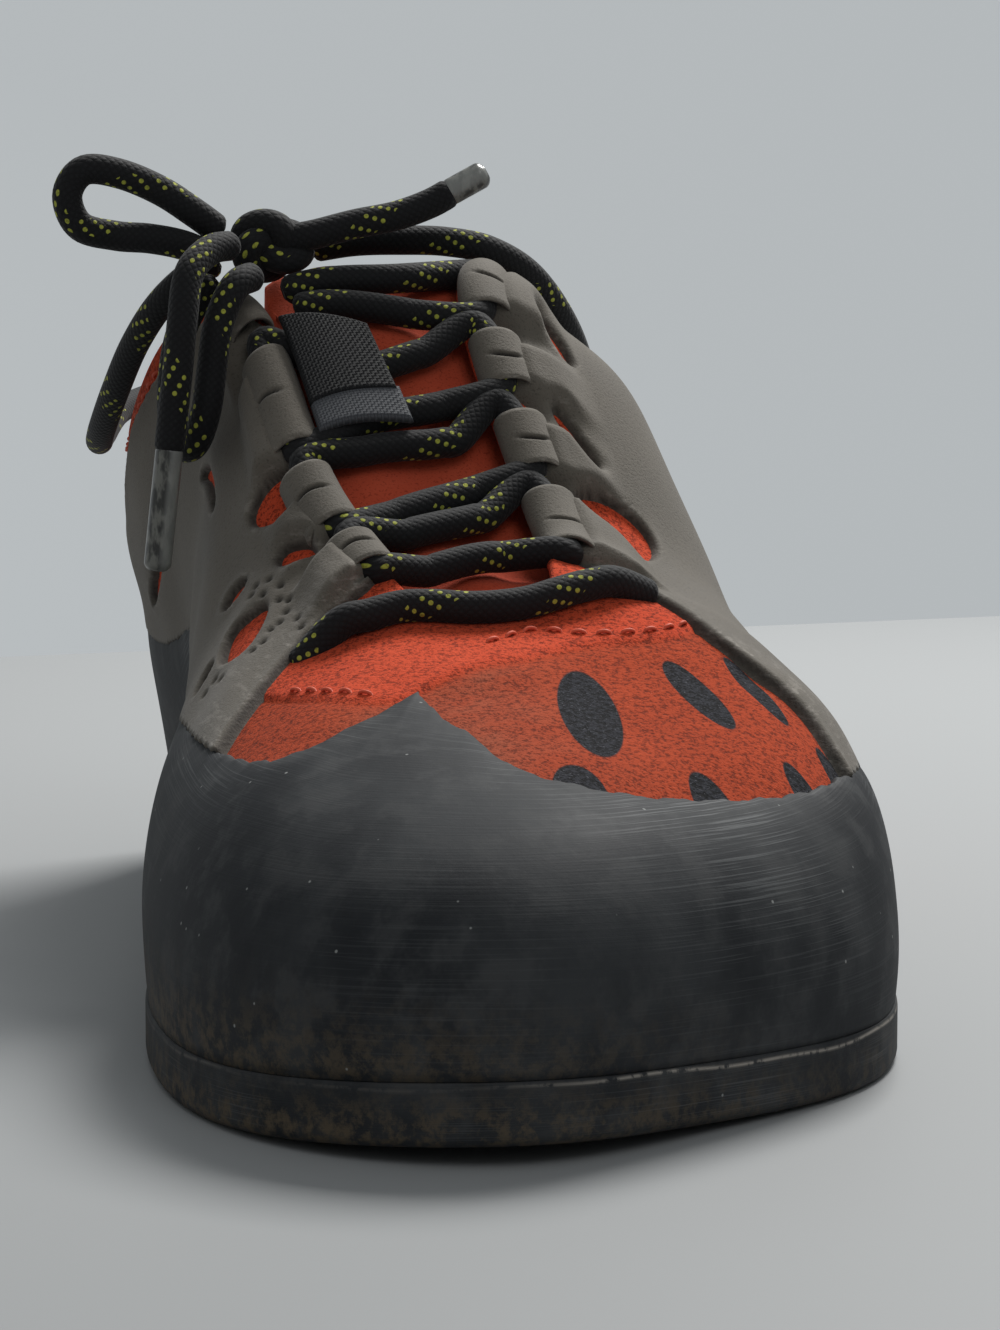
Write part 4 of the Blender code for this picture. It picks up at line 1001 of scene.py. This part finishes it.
def make_outsole():
    """The rubber sole: a rounded lower rim, an upright side, a glued seam and a plain smooth tread."""
    count = 900
    around = np.arange(count) / count
    under = [1.0, 0.8, 0.6, 0.4, 0.22, 0.10, 0.045]
    side = []
    for angle in np.linspace(0, math.pi / 2, 6):
        side.append((1.3 * (1 - math.sin(angle)), 1.3 * (1 - math.cos(angle))))
    side += [(0.0, share * SOLE_THICKNESS) for share in (0.26, 0.36, 0.48, 0.60, 0.70, 0.79)]
    side += [(inset, SOLE_THICKNESS - drop) for inset, drop in TOP_RIM]
    below = foot_rings(around, under, [ground] * len(under))
    above_shares = [0.10, 0.30, 0.6, 1.0]
    above = foot_rings(around, above_shares, [lambda x, y: ground(x, y) + SOLE_THICKNESS] * 4)
    points = np.concatenate([below, edge_rings(around, side, ground), above], 1)
    rows = points.shape[1]
    turned = past_toe(around)
    level = np.concatenate([np.zeros(len(under)), [height for _, height in side], np.full(4, SOLE_THICKNESS)])
    toe_side = smooth_step(-turned, -0.10, 0.05)[:, None]
    dirt = bell(level - 1.5, 3.6)[None, :] * (0.35 + 0.6 * toe_side)
    patchy = 0.5 + 0.5 * np.sin(turned * 90) * np.sin(turned * 37 + 1)
    wander = 0.22 * np.sin(turned * 61) + 0.12 * np.sin(turned * 173 + 2)
    from_glue = level[None, :] - (SOLE_THICKNESS - GLUE_DROP) - wander[:, None]
    glue_band = bell(from_glue, 0.17)
    glue = glue_band * (smooth_step(np.abs(turned - 0.075), 0.085, 0.03) * 0.95 + 0.25 * patchy)[:, None]
    place = field((around * ROUND_LENGTH)[:, None], np.linspace(0, 1, rows)[None, :] * 60)
    wear_and_painted_light = field(dirt, 0.25 * np.ones_like(dirt), glue)
    faces = grid_faces(count, rows, round_along=True)
    piece = make_piece(
        "outsole_rubber", points, faces, "rubber", {"wear_and_painted_light": wear_and_painted_light, "place": place}, ["outsole"]
    )
    weld(piece)


def weld(piece):
    """Join a mesh's points that lie on each other, and drop faces without an area."""
    build = bmesh.new()
    build.from_mesh(piece.data)
    bmesh.ops.remove_doubles(build, verts=build.verts, dist=0.01 * MM)
    bmesh.ops.dissolve_degenerate(build, edges=build.edges, dist=0.005 * MM)
    build.to_mesh(piece.data)
    build.free()


# The footbed's section from its underside to its top, as (further inset, height) in mm.
INSOLE_SECTION = [(14.0, 0.0), (0.6, 0.0), (0.0, 0.5), (0.0, 1.4), (0.5, 1.9), (1.5, INSOLE_THICKNESS)]


def make_insole():
    """The footbed: a thin cloth-covered board with a rounded edge and a slight cup at the heel."""
    count = 400
    around = np.arange(count) / count
    inset = EDGE_INSET + WALL + INSOLE_CLEARANCE

    def bed(x, y):
        """The height of the footbed's underside."""
        return ground(x, y) + SOLE_THICKNESS + INSOLE_GAP

    section = [(inset + extra, height) for extra, height in INSOLE_SECTION]
    centre = foot_rings(around, [0.2, 0.4, 0.7, 1.0], [lambda x, y: bed(x, y) + INSOLE_THICKNESS] * 4)
    points = np.concatenate([edge_rings(around, section, bed), centre], 1)
    faces = grid_faces(count, points.shape[1], round_along=True)
    piece = make_piece("insole_cloth", points, faces, "lining", {}, ["insole"])
    weld(piece)


def outline_points(corners, closed):
    """Fine points along an outline of (around, up) places, through its corners."""
    corners = np.asarray(corners, float)
    if closed:
        count = len(corners)
        curve = periodic_spline(np.arange(count) / count, corners)
        return curve(np.linspace(0, 1, count * 24, endpoint=False))
    fine = []
    for first, second in zip(corners[:-1], corners[1:]):
        fine.append(first + (second - first) * np.linspace(0, 1, 30, endpoint=False)[:, None])
    return np.vstack(fine + [corners[-1:]])


def inside_outline(around, up, outline):
    """Whether places lie within a closed outline, by counting crossings."""
    inside = np.zeros(around.shape, bool)
    x0, y0 = outline[:, 0], outline[:, 1]
    x1, y1 = np.roll(x0, -1), np.roll(y0, -1)
    for a, b, c, d in zip(x0, y0, x1, y1):
        if b == d:
            continue
        crosses = (up > min(b, d)) & (up <= max(b, d))
        inside ^= crosses & (around < (c - a) * (up - b) / (d - b) + a)
    return inside


def distance_to(points, edge):
    """How far points lie from the nearest of an edge's points, in mm."""
    tree = kdtree.KDTree(len(edge))
    for number, point in enumerate(edge):
        tree.insert(point, number)
    tree.balance()
    flat = points.reshape(-1, 3)
    return np.array([tree.find(point)[2] for point in flat]).reshape(points.shape[:-1])


# The rolled loops: their crest up the rib, half width, height, lift of their middle and trim at the ends.
LOOP_UP = 0.962
LOOP_WIDE = 4.1
LOOP_HIGH = 3.2
LOOP_LIFT = 1.1
LOOP_TRIM = 0.6
LOOP_SKIRT = 2.5
SLIT_TURN = 1.45
# How far round the shoe the harness's mesh goes past its outline at each end.
HARNESS_MARGIN = 0.006
# How far its lower edge goes under the rand, up the rib, and the depth of its sunk edges in mm.
HARNESS_TUCK = 0.012
HARNESS_SUNK = -0.9
# Scuffed pinholes in the medial harness, near its lower window, and the dotted line beside it.
PINHOLES = [
    (0.799, 0.720), (0.803, 0.760), (0.811, 0.780), (0.801, 0.700), (0.807, 0.730), (0.817, 0.760),
    (0.821, 0.780), (0.826, 0.760), (0.836, 0.775), (0.844, 0.770), (0.829, 0.710), (0.833, 0.680),
    (0.833, 0.650), (0.828, 0.550), (0.822, 0.530), (0.821, 0.490), (0.818, 0.670), (0.829, 0.735),
]


def harness_signed(side, places, heights, base):
    """How far inside the harness's outline and round its windows places lie, in mm, negative outside."""
    corners = HARNESS_EDGE[side]
    upper_edge = outline_points(corners, False)
    rand_places = np.linspace(corners[-1][0], corners[0][0], 240)
    lower_edge = np.stack([rand_places, edge_height(rand_places) - HARNESS_TUCK], -1)
    inside = inside_outline(places, heights, np.vstack([upper_edge, lower_edge]))
    away = distance_to(base, surface(*upper_edge.T, HARNESS_GAP))
    signed = np.where(inside, away, -away)
    low = (heights - edge_height(places) + HARNESS_TUCK) * RIB_LENGTH
    signed = np.where(inside, np.minimum(signed, np.maximum(low, 0.0) + 2.0), np.minimum(signed, low))
    signed = np.where((heights > 0.985) & inside, np.maximum(signed, 1.0), signed)
    for window in WINDOWS[side]:
        ring = outline_points(window, True)
        to_ring = distance_to(base, surface(*ring.T, HARNESS_GAP))
        hole = inside_outline(places, heights, ring)
        signed = np.minimum(signed, np.where(hole, -to_ring, to_ring))
    return signed


def harness_lift(side, places, heights, signed, pits):
    """How far the harness's skin stands off the last, in mm: soft edges, skirts of the loops and waves."""
    full = HARNESS_GAP + HARNESS_THICKNESS
    lift = HARNESS_SUNK + (full - HARNESS_SUNK) * np.sqrt(smooth_step(signed, -0.55, 0.75))
    rolled = LOOP_SKIRT * smooth_step(heights, 0.77, 0.89) * (1 - smooth_step(heights, 0.92, 0.975))
    in_loops = np.zeros_like(places)
    for start, end in LOOPS[side]:
        in_loops = np.maximum(in_loops, smooth_step(np.minimum(places - start, end - places), -0.002, 0.003))
    waves = 0.25 * np.sin(places * 71 + heights * 19) + 0.15 * np.sin(places * 173)
    lift = lift + smooth_step(signed, 0.0, 2.5) * (rolled * in_loops + waves) - pits * 0.7 * (signed > 0)
    gap_dip = (1 - in_loops) * smooth_step(heights, 0.90, 0.95)
    inside_throat = (places > LOOPS[side][0][0]) & (places < LOOPS[side][-1][1])
    return np.where(inside_throat, lift - gap_dip * (full - HARNESS_SUNK), lift)


def make_harness(side):
    """The grey harness: a leather skin with soft cut edges that sinks into the suede at its outline."""
    corners = HARNESS_EDGE[side]
    front, back = min(corners)[0] - HARNESS_MARGIN, max(corners)[0] + HARNESS_MARGIN
    count, rows = int((back - front) * ROUND_LENGTH / MESH_STEP), 118
    along, up = np.linspace(front, back, count), np.linspace(0.10, 0.999, rows)
    places, heights = np.meshgrid(along, up, indexing="ij")
    base = surface(places, heights, HARNESS_GAP)
    signed = harness_signed(side, places, heights, base)
    pits = np.zeros_like(places)
    if side == "medial":
        pits = bell(distance_to(base, surface(*np.array(PINHOLES).T, HARNESS_GAP)), 0.55)
    # painted shade: darker along the cut edges and in the pinholes
    shade = bell(signed - 0.05, 0.35) * 0.75 + pits * 0.9
    from_toe = places if side == "lateral" else 1 - places
    rub = 0.5 * bell(signed - 0.8, 0.8) + 0.5 * smooth_step(0.185 - from_toe, 0.0, 0.03)
    points = surface(places, heights, harness_lift(side, places, heights, signed, pits))
    faces = grid_faces(count, rows)
    faces = faces[signed.reshape(-1)[faces].max(axis=1) > -0.62]
    used = np.unique(faces)
    number = np.full(count * rows, -1)
    number[used] = np.arange(len(used))
    wear_and_painted_light = field(np.clip(shade, 0, 1), np.clip(rub, 0, 1)).reshape(-1, 3)[used]
    make_piece(
        "harness_%s_leather" % side, points.reshape(-1, 3)[used], number[faces], "harness",
        {"wear_and_painted_light": wear_and_painted_light}, ["harness_" + side],
    )


def make_loops(side):
    """The rolled loops at the throat: open leather tubes with a curved slit across the middle."""
    rings, sides = 64, 40
    angle = np.arange(sides) / sides * 2 * math.pi
    points, faces, wear_and_painted_light = [], [], []
    start = 0
    for first, last in LOOPS[side]:
        line = surface(np.linspace(first, last, 80), LOOP_UP, LOOP_LIFT)
        run = runs(line)
        length = run[-1] - 2 * LOOP_TRIM
        tube = np.linspace(0, length, rings)
        along = np.concatenate([[3.5, 1.5, 0.2], tube, [length - 0.2, length - 1.5, length - 3.5]])
        size = np.concatenate([[0.66, 0.70, 0.80], np.ones(rings), [0.80, 0.70, 0.66]])
        near_end = np.minimum(tube, length - tube)
        size[3:-3] *= 1 - 0.08 * bell(near_end, 0.35)
        at = np.interp(along + LOOP_TRIM, run, np.linspace(first, last, 80))
        centre = surface(at, LOOP_UP, LOOP_LIFT)
        out = surface(at, LOOP_UP, LOOP_LIFT + 1) - centre
        ahead = unit(surface(at + STEP / 2, LOOP_UP, LOOP_LIFT) - surface(at - STEP / 2, LOOP_UP, LOOP_LIFT))
        across = np.cross(out, ahead)
        bow = 1.3 * np.sin(angle) ** 2
        from_slit = along[:, None] - length / 2 + bow[None, :] - 0.7
        shown = np.exp(-(((angle - SLIT_TURN) / 0.62) ** 4))
        slit = bell(from_slit, 0.30) * shown[None, :]
        slit[:3] = slit[-3:] = 0.0
        radius = size[:, None] * (1 - 0.22 * slit)
        ring = (
            centre[:, None]
            + across[:, None] * (np.cos(angle)[None, :, None] * LOOP_WIDE * radius[..., None])
            + out[:, None] * (np.sin(angle)[None, :, None] * LOOP_HIGH * radius[..., None])
        )
        count = len(along)
        points.append(ring.reshape(-1, 3))
        # painted shade in the slit and inside the tube's open ends
        dark = np.clip(slit * 1.2, 0, 1)
        dark[:2] = dark[-2:] = 1.0
        dark[2] = dark[-3] = 0.5
        edge_rub = np.concatenate([np.zeros(3), bell(near_end, 0.7), np.zeros(3)])
        wear_and_painted_light.append(field(dark, np.repeat(edge_rub[:, None], sides, 1) * 0.6).reshape(-1, 3))
        faces += grid_faces(count, sides, round_across=True, start=start).tolist()
        faces.append(range(start, start + sides))
        faces.append(range(start + count * sides - 1, start + (count - 1) * sides - 1, -1))
        start += count * sides
    make_piece(
        "harness_%s_loops" % side, np.vstack(points), faces, "harness", {"wear_and_painted_light": np.vstack(wear_and_painted_light)},
    )


def tube_mesh(line, radius, sides):
    """Rings round a centre line without twist, closed at both ends: points, faces and the lace's field."""
    line = np.asarray(line, float)
    ahead = unit(np.gradient(line, axis=0))
    side = np.cross(ahead[0], (0.3, 0.2, 1.0))
    run = runs(line)
    angle = np.arange(sides) / sides * 2 * math.pi
    rounded = np.clip(1 - np.minimum(run, run[-1] - run) / (radius * 0.6), 0, 1)
    sizes = radius * np.sqrt(np.clip(1 - rounded**2 * 0.75, 0.05, 1))
    points = []
    for centre, forward, size in zip(line, ahead, sizes):
        side = side - forward * side.dot(forward)
        side = side / np.linalg.norm(side)
        other = np.cross(forward, side)
        points.append(centre + size * (np.cos(angle)[:, None] * side + np.sin(angle)[:, None] * other))
    points = np.array(points)
    faces = grid_faces(len(line), sides, round_across=True)[:, ::-1].tolist()
    faces.append(range(sides))
    faces.append(range(len(line) * sides - 1, (len(line) - 1) * sides - 1, -1))
    place = field(run[:, None], np.cos(angle)[None, :], np.sin(angle)[None, :])
    return points.reshape(-1, 3), faces, place.reshape(-1, 3)


def make_lace(name, line, node=None, look="lace", diameter=LACE):
    """A lace along a line, which stands for a solid of the part."""
    points, faces, place = tube_mesh(line, diameter / 2, 24)
    return make_piece(name, points, faces, look, {"place": place}, [node] if node else ())


def mouth_of(side, number, end):
    """Where round the shoe a loop's front or back mouth is, and which way the loop runs on from it."""
    first, last = LOOPS[side][number]
    near, far = (first, last) if side == "lateral" else (last, first)
    mouth, other = (near, far) if end == "front" else (far, near)
    return mouth, np.sign(other - mouth)


def mouth_points(side, number, end):
    """Points that lead a strand from over the throat's edge into a loop's mouth."""
    mouth, inward = mouth_of(side, number, end)
    places = [
        (mouth - inward * 0.0016, 0.998, 0.8), (mouth + inward * 0.0015, LOOP_UP + 0.01, 1.3),
        (mouth + inward * 0.009, LOOP_UP, LOOP_LIFT),
    ]
    return [surface(place, up, lift) for place, up, lift in places]


def strand_line(medial, lateral, mouths):
    """A strand's centre line: over the tongue where the photograph shows it, and into a loop at each side."""
    width = np.linalg.norm(throat_bridge(medial, 0.0) - throat_bridge(lateral, 1.0))
    inset = STRAND_INSET / width
    across = np.linspace(inset, 1 - inset, 9)
    share = medial + (lateral - medial) * (3 * across**2 - 2 * across**3)
    for mouth, reach in zip(mouths, (1 - 2 * across, 2 * across - 1)):
        if mouth:
            side, place, end = mouth
            end_share = RIB(mouth_of(side, place, end)[0])[2] / LENGTH
            near = medial if side == "medial" else lateral
            share = share + (end_share - near) * np.clip(reach, 0, 1) ** 2.5
    points = list(throat_bridge(share, across, FIT_GAP + LACE / 2))
    if mouths[0]:
        points = mouth_points(*mouths[0])[::-1] + points[1:]
    if mouths[1]:
        points = points[:-1] + mouth_points(*mouths[1])
    return smooth_route(points)


def make_strands():
    """The strand on the toe panel, and those over the tongue, led into the loops at both ends.

    Two strands share each loop, at its front and its back mouth, and the last two end under the knot.
    """
    around, up = np.array(FRONT_STRAND).T
    line = smooth_route(surface(around, up, FIT_GAP + LACE / 2))
    ends = [surface(-0.146, 0.715, -1.2), surface(0.180, 0.83, 0.6)]
    line = smooth_route(np.vstack([ends[0], line[4::8], ends[1]]))
    make_lace("lace_front", line, "lace_strand_1")
    for number, (medial, lateral) in enumerate(STRANDS):
        loop, end = number // 2, ("front", "back")[number % 2]
        mouths = (("medial", 3 - loop, end) if loop < 3 else None, ("lateral", loop, end))
        line = strand_line(medial, lateral, mouths)
        make_lace("lace_row_%d" % (number + 2), line, "lace_strand_%d" % (number + 2))


def make_knot():
    """The bow's knot: one lace turned three times through itself, pulled tight."""
    turn = np.linspace(0, 2 * math.pi, 150)
    wide = 2 + np.cos(3 * turn)
    line = np.stack([wide * np.cos(2 * turn), np.sin(3 * turn), wide * np.sin(2 * turn)], -1)
    return make_lace("lace_bow_knot", line * KNOT_SIZE + KNOT_CENTRE, "lace_knot")


def make_free_lace():
    """The turn round the ankle, the bow's knot and loops, and the ends with their tips."""
    knot = make_knot()
    tips = {}
    for name, (lace, length) in AGLETS.items():
        route = np.array(LACE_ROUTES[lace], float)
        ahead = (route[-1] - route[-2]) / np.linalg.norm(route[-1] - route[-2])
        line = route[-1] + ahead * np.linspace(-1.5, length + FIT_GAP, 60)[:, None]
        tips[lace] = make_lace(name + "_tip", line, name, "tip", AGLET)
    for name, route in LACE_ROUTES.items():
        inside = END_IN_KNOT if name == "lace_end_right" else []
        line = smooth_route(inside + route)
        lace = make_lace(name + "_cord", line, name)
        pieces = [tips[name]] if name in tips else []
        if name == "lace_wrap":
            pieces.append(knot)


def make_tongue():
    """The tongue: soft microfibre, pressed in under the strands and puffed between them."""
    rows, columns = 190, 90
    share = np.linspace(THROAT_FRONT, TONGUE_TOP, rows)
    across = np.linspace(-TONGUE_FLAP, 1 + TONGUE_FLAP, columns)
    along, over = np.meshgrid(share, across, indexing="ij")
    puff = np.zeros_like(along)
    for medial, lateral in STRANDS:
        line = medial + (lateral - medial) * np.clip(over, 0, 1)
        puff -= 0.6 * bell((along - line) * LENGTH, 2.6)
    puff += 0.35 * np.sin(over * 9 + along * 40) * smooth_step(over, 0.0, 0.2) * smooth_step(over, 1.0, 0.8)
    side_border = np.minimum(over + TONGUE_FLAP, 1 + TONGUE_FLAP - over) * TONGUE_WIDTH
    border = np.minimum(side_border, (TONGUE_TOP - along) * LENGTH)
    round_off = 1 - np.sqrt(np.clip(1 - (1 - np.clip(border / 1.1, 0, 1)) ** 2, 0, 1))
    top = throat_bridge(along, over, puff - round_off * TONGUE_THICKNESS / 2)
    under = throat_bridge(along, over, -TONGUE_THICKNESS + round_off * TONGUE_THICKNESS / 2)
    points = np.concatenate([top.reshape(-1, 3), under.reshape(-1, 3)])
    upper_faces = grid_faces(rows, columns)[:, ::-1].tolist()
    lower_faces = (grid_faces(rows, columns) + rows * columns).tolist()
    rim = [i for i in range(columns)]
    rim += [i * columns + columns - 1 for i in range(1, rows)]
    rim += [(rows - 1) * columns + i for i in range(columns - 2, -1, -1)]
    rim += [i * columns for i in range(rows - 2, 0, -1)]
    border_faces = []
    for here, after in zip(rim, rim[1:] + rim[:1]):
        border_faces.append((after, here, here + rows * columns, after + rows * columns))
    faces = upper_faces + lower_faces + border_faces
    make_piece("tongue_soft", points, faces, "tongue", {}, ["tongue"])


def slab(name, corners, low, high, look, replaces=(), bow=0.0):
    """A thin cloth slab over the tongue between two heights in mm, with rounded borders.

    corners: its (share, across) places, front medial, front lateral, back lateral and back medial.
    """
    rows, columns = 60, 60
    s, t = np.meshgrid(np.linspace(0, 1, rows), np.linspace(0, 1, columns), indexing="ij")
    front_in, front_out, back_out, back_in = np.array(corners)
    spot = (
        ((1 - s) * (1 - t))[..., None] * front_in + ((1 - s) * t)[..., None] * front_out
        + (s * t)[..., None] * back_out + (s * (1 - t))[..., None] * back_in
    )
    share, across = spot[..., 0], spot[..., 1]
    flat = throat_bridge(share, across, low)
    long = np.linalg.norm(flat[-1] - flat[0], axis=-1)[None, :]
    wide = np.linalg.norm(flat[:, -1] - flat[:, 0], axis=-1)[:, None]
    border = np.minimum(np.minimum(s, 1 - s) * long, np.minimum(t, 1 - t) * wide)
    inner = np.clip(border / ((high - low) / 2), 0, 1)
    half = (high - low) / 2 * np.sqrt(np.clip(1 - (1 - inner) ** 2, 0, 1))
    middle = (low + high) / 2 + bow * np.sin(t * math.pi)
    top, under = throat_bridge(share, across, middle + half), throat_bridge(share, across, middle - half)
    points = np.concatenate([top.reshape(-1, 3), under.reshape(-1, 3)])
    upper_faces = grid_faces(rows, columns)
    faces = np.concatenate([upper_faces[:, ::-1], upper_faces + rows * columns])
    place = np.concatenate([field(s * long, t * wide).reshape(-1, 3)] * 2)
    piece = make_piece(name, points, faces, look, {"place": place}, replaces)
    weld(piece)


TAB_CORNERS = [(0.4790, 0.02), (0.4805, 0.50), (0.5130, 0.46), (0.5300, 0.02)]
FOLD_CORNERS = [(0.4655, 0.02), (0.4665, 0.53), (0.4830, 0.52), (0.4815, 0.02)]


def make_tab():
    """The plain webbing tab over the tongue, with the satin fold at its front end."""
    rest = LACE + 2 * FIT_GAP
    slab("tongue_tab_webbing", TAB_CORNERS, rest, rest + TAB_THICKNESS, "webbing", ["tongue_tab"], 0.3)
    slab("tongue_tab_fold", FOLD_CORNERS, rest - 0.8, rest + 0.9, "satin", (), 0.3)


STITCH = 2.1
STITCH_GAP = 1.2
STITCH_ROWS = {
    "toe_left": [(-0.124, 0.672), (-0.108, 0.705), (-0.081, 0.742), (-0.066, 0.755), (-0.050, 0.778)],
    "toe_right": [
        (-0.006, 0.925), (0.042, 0.940), (0.085, 0.895), (0.119, 0.843), (0.142, 0.802), (0.180, 0.735),
    ],
    "collar": [
        (0.330, 0.955), (0.360, 0.955), (0.400, 0.955), (0.450, 0.955), (0.512, 0.955), (0.570, 0.955),
        (0.620, 0.955), (0.660, 0.955), (0.685, 0.955),
    ],
}


def make_stitches():
    """Rows of thread: each stitch is a short arch of thread that dips into the suede at its ends."""
    points, faces, start = [], [], 0
    for row in STITCH_ROWS.values():
        path = smooth_route(np.array(row), 0.0004)
        line = surface(path[:, 0], path[:, 1], 0.45)
        run = runs(line)
        for first in np.arange(0.5, run[-1] - STITCH, STITCH + STITCH_GAP):
            at = np.linspace(first, first + STITCH, 9)
            around = np.interp(at, run, path[:, 0])
            up = np.interp(at, run, path[:, 1])
            arch = 0.62 * np.sin(np.linspace(0, math.pi, 9)) ** 0.5 + 0.05
            relief, _ = suede_fields(around, up)
            stitch, corners, _ = tube_mesh(surface(around, up, relief + arch - 0.28), 0.26, 8)
            points.append(stitch)
            faces += [np.array(face) + start for face in corners]
            start += len(stitch)
    make_piece("upper_stitches", np.vstack(points), faces, "thread")


# The floor's back edge behind the shoe, in metres, its turn from the shoe's width, and the wall beyond it.
FLOOR_BACK = (-0.136, 0.472)
FLOOR_TURN = 15.0
FLOOR_SIDE = 2.5
WALL_BEYOND = 1.3
WALL_SPAN = (-1.2, 1.6)
# The wall's glow is painted light, standing in for the light that falls on it.
WALL_GLOW = 0.78


def stage_sheet(name, corners, look):
    """A flat sheet of the studio, from its two ends as (distance past the floor's edge, height)."""
    turn = math.radians(FLOOR_TURN)
    points = []
    for x in (-FLOOR_SIDE, FLOOR_SIDE):
        for y, z in corners:
            points.append((
                FLOOR_BACK[0] + x * math.cos(turn) - y * math.sin(turn),
                FLOOR_BACK[1] + x * math.sin(turn) + y * math.cos(turn), z,
            ))
    mesh = bpy.data.meshes.new(name)
    mesh.from_pydata(points, [], [(0, 2, 3, 1)])
    mesh.materials.append(look)
    add_object(name, mesh)


def make_stage():
    """A pale floor that ends behind the shoe, before a grey-blue wall whose soft glow is painted light."""
    floor = stage_look("studio_floor", srgb(157, 159, 160))
    wall = stage_look("studio_wall", srgb(150, 154, 156), WALL_GLOW)
    stage_sheet("studio_floor", [(-FLOOR_SIDE, 0.0), (0.0, 0.0)], floor)
    stage_sheet("studio_wall", [(WALL_BEYOND, height) for height in WALL_SPAN], wall)


def make_light(name, place, aim, size, power, colour):
    """A soft square light that looks at a point of the shoe."""
    lamp = bpy.data.lights.new(name, "AREA")
    lamp.size = size
    lamp.energy = power
    lamp.color = colour
    aim_from(add_object(name, lamp), place, aim)


def make_lights():
    """Broad light from above and a little behind, with a weak fill from the front."""
    make_light("key_light", (0.38, 0.48, 0.88), (0.0, -0.02, 0.0), 0.42, 13.5, (1.0, 0.99, 0.97))
    make_light("front_light", (0.15, -0.9, 0.85), (0.0, 0.0, 0.05), 0.6, 1.6, (0.98, 0.99, 1.0))
    world = bpy.data.worlds.new("studio")
    world.use_nodes = True
    world.node_tree.nodes["Background"].inputs[0].default_value = (0.89, 0.93, 0.95, 1.0)
    world.node_tree.nodes["Background"].inputs[1].default_value = 0.29
    bpy.context.scene.world = world
    bpy.context.scene.view_settings.view_transform = "Standard"


def make_camera():
    """The photograph's view of the shoe, from in front, a little above and beside the toe."""
    lens = bpy.data.cameras.new("camera")
    lens.lens = CAMERA_LENS
    lens.clip_start = 0.01
    camera = add_object("camera", lens)
    aim_from(camera, to_frame(CAMERA_PLACE), to_frame(CAMERA_AIM))
    bpy.context.scene.camera = camera


make_camera()
make_free_lace()
make_strands()
make_upper()
make_rand("toe_rand_rubber", "toe_rand", RAND_JOINTS[1] - 1, RAND_JOINTS[0])
make_rand("heel_rand_rubber", "heel_rand", RAND_JOINTS[0], RAND_JOINTS[1])
make_outsole()
make_insole()
for foot_side in ("lateral", "medial"):
    make_harness(foot_side)
    make_loops(foot_side)
make_tongue()
make_tab()
make_stitches()
make_stage()
make_lights()
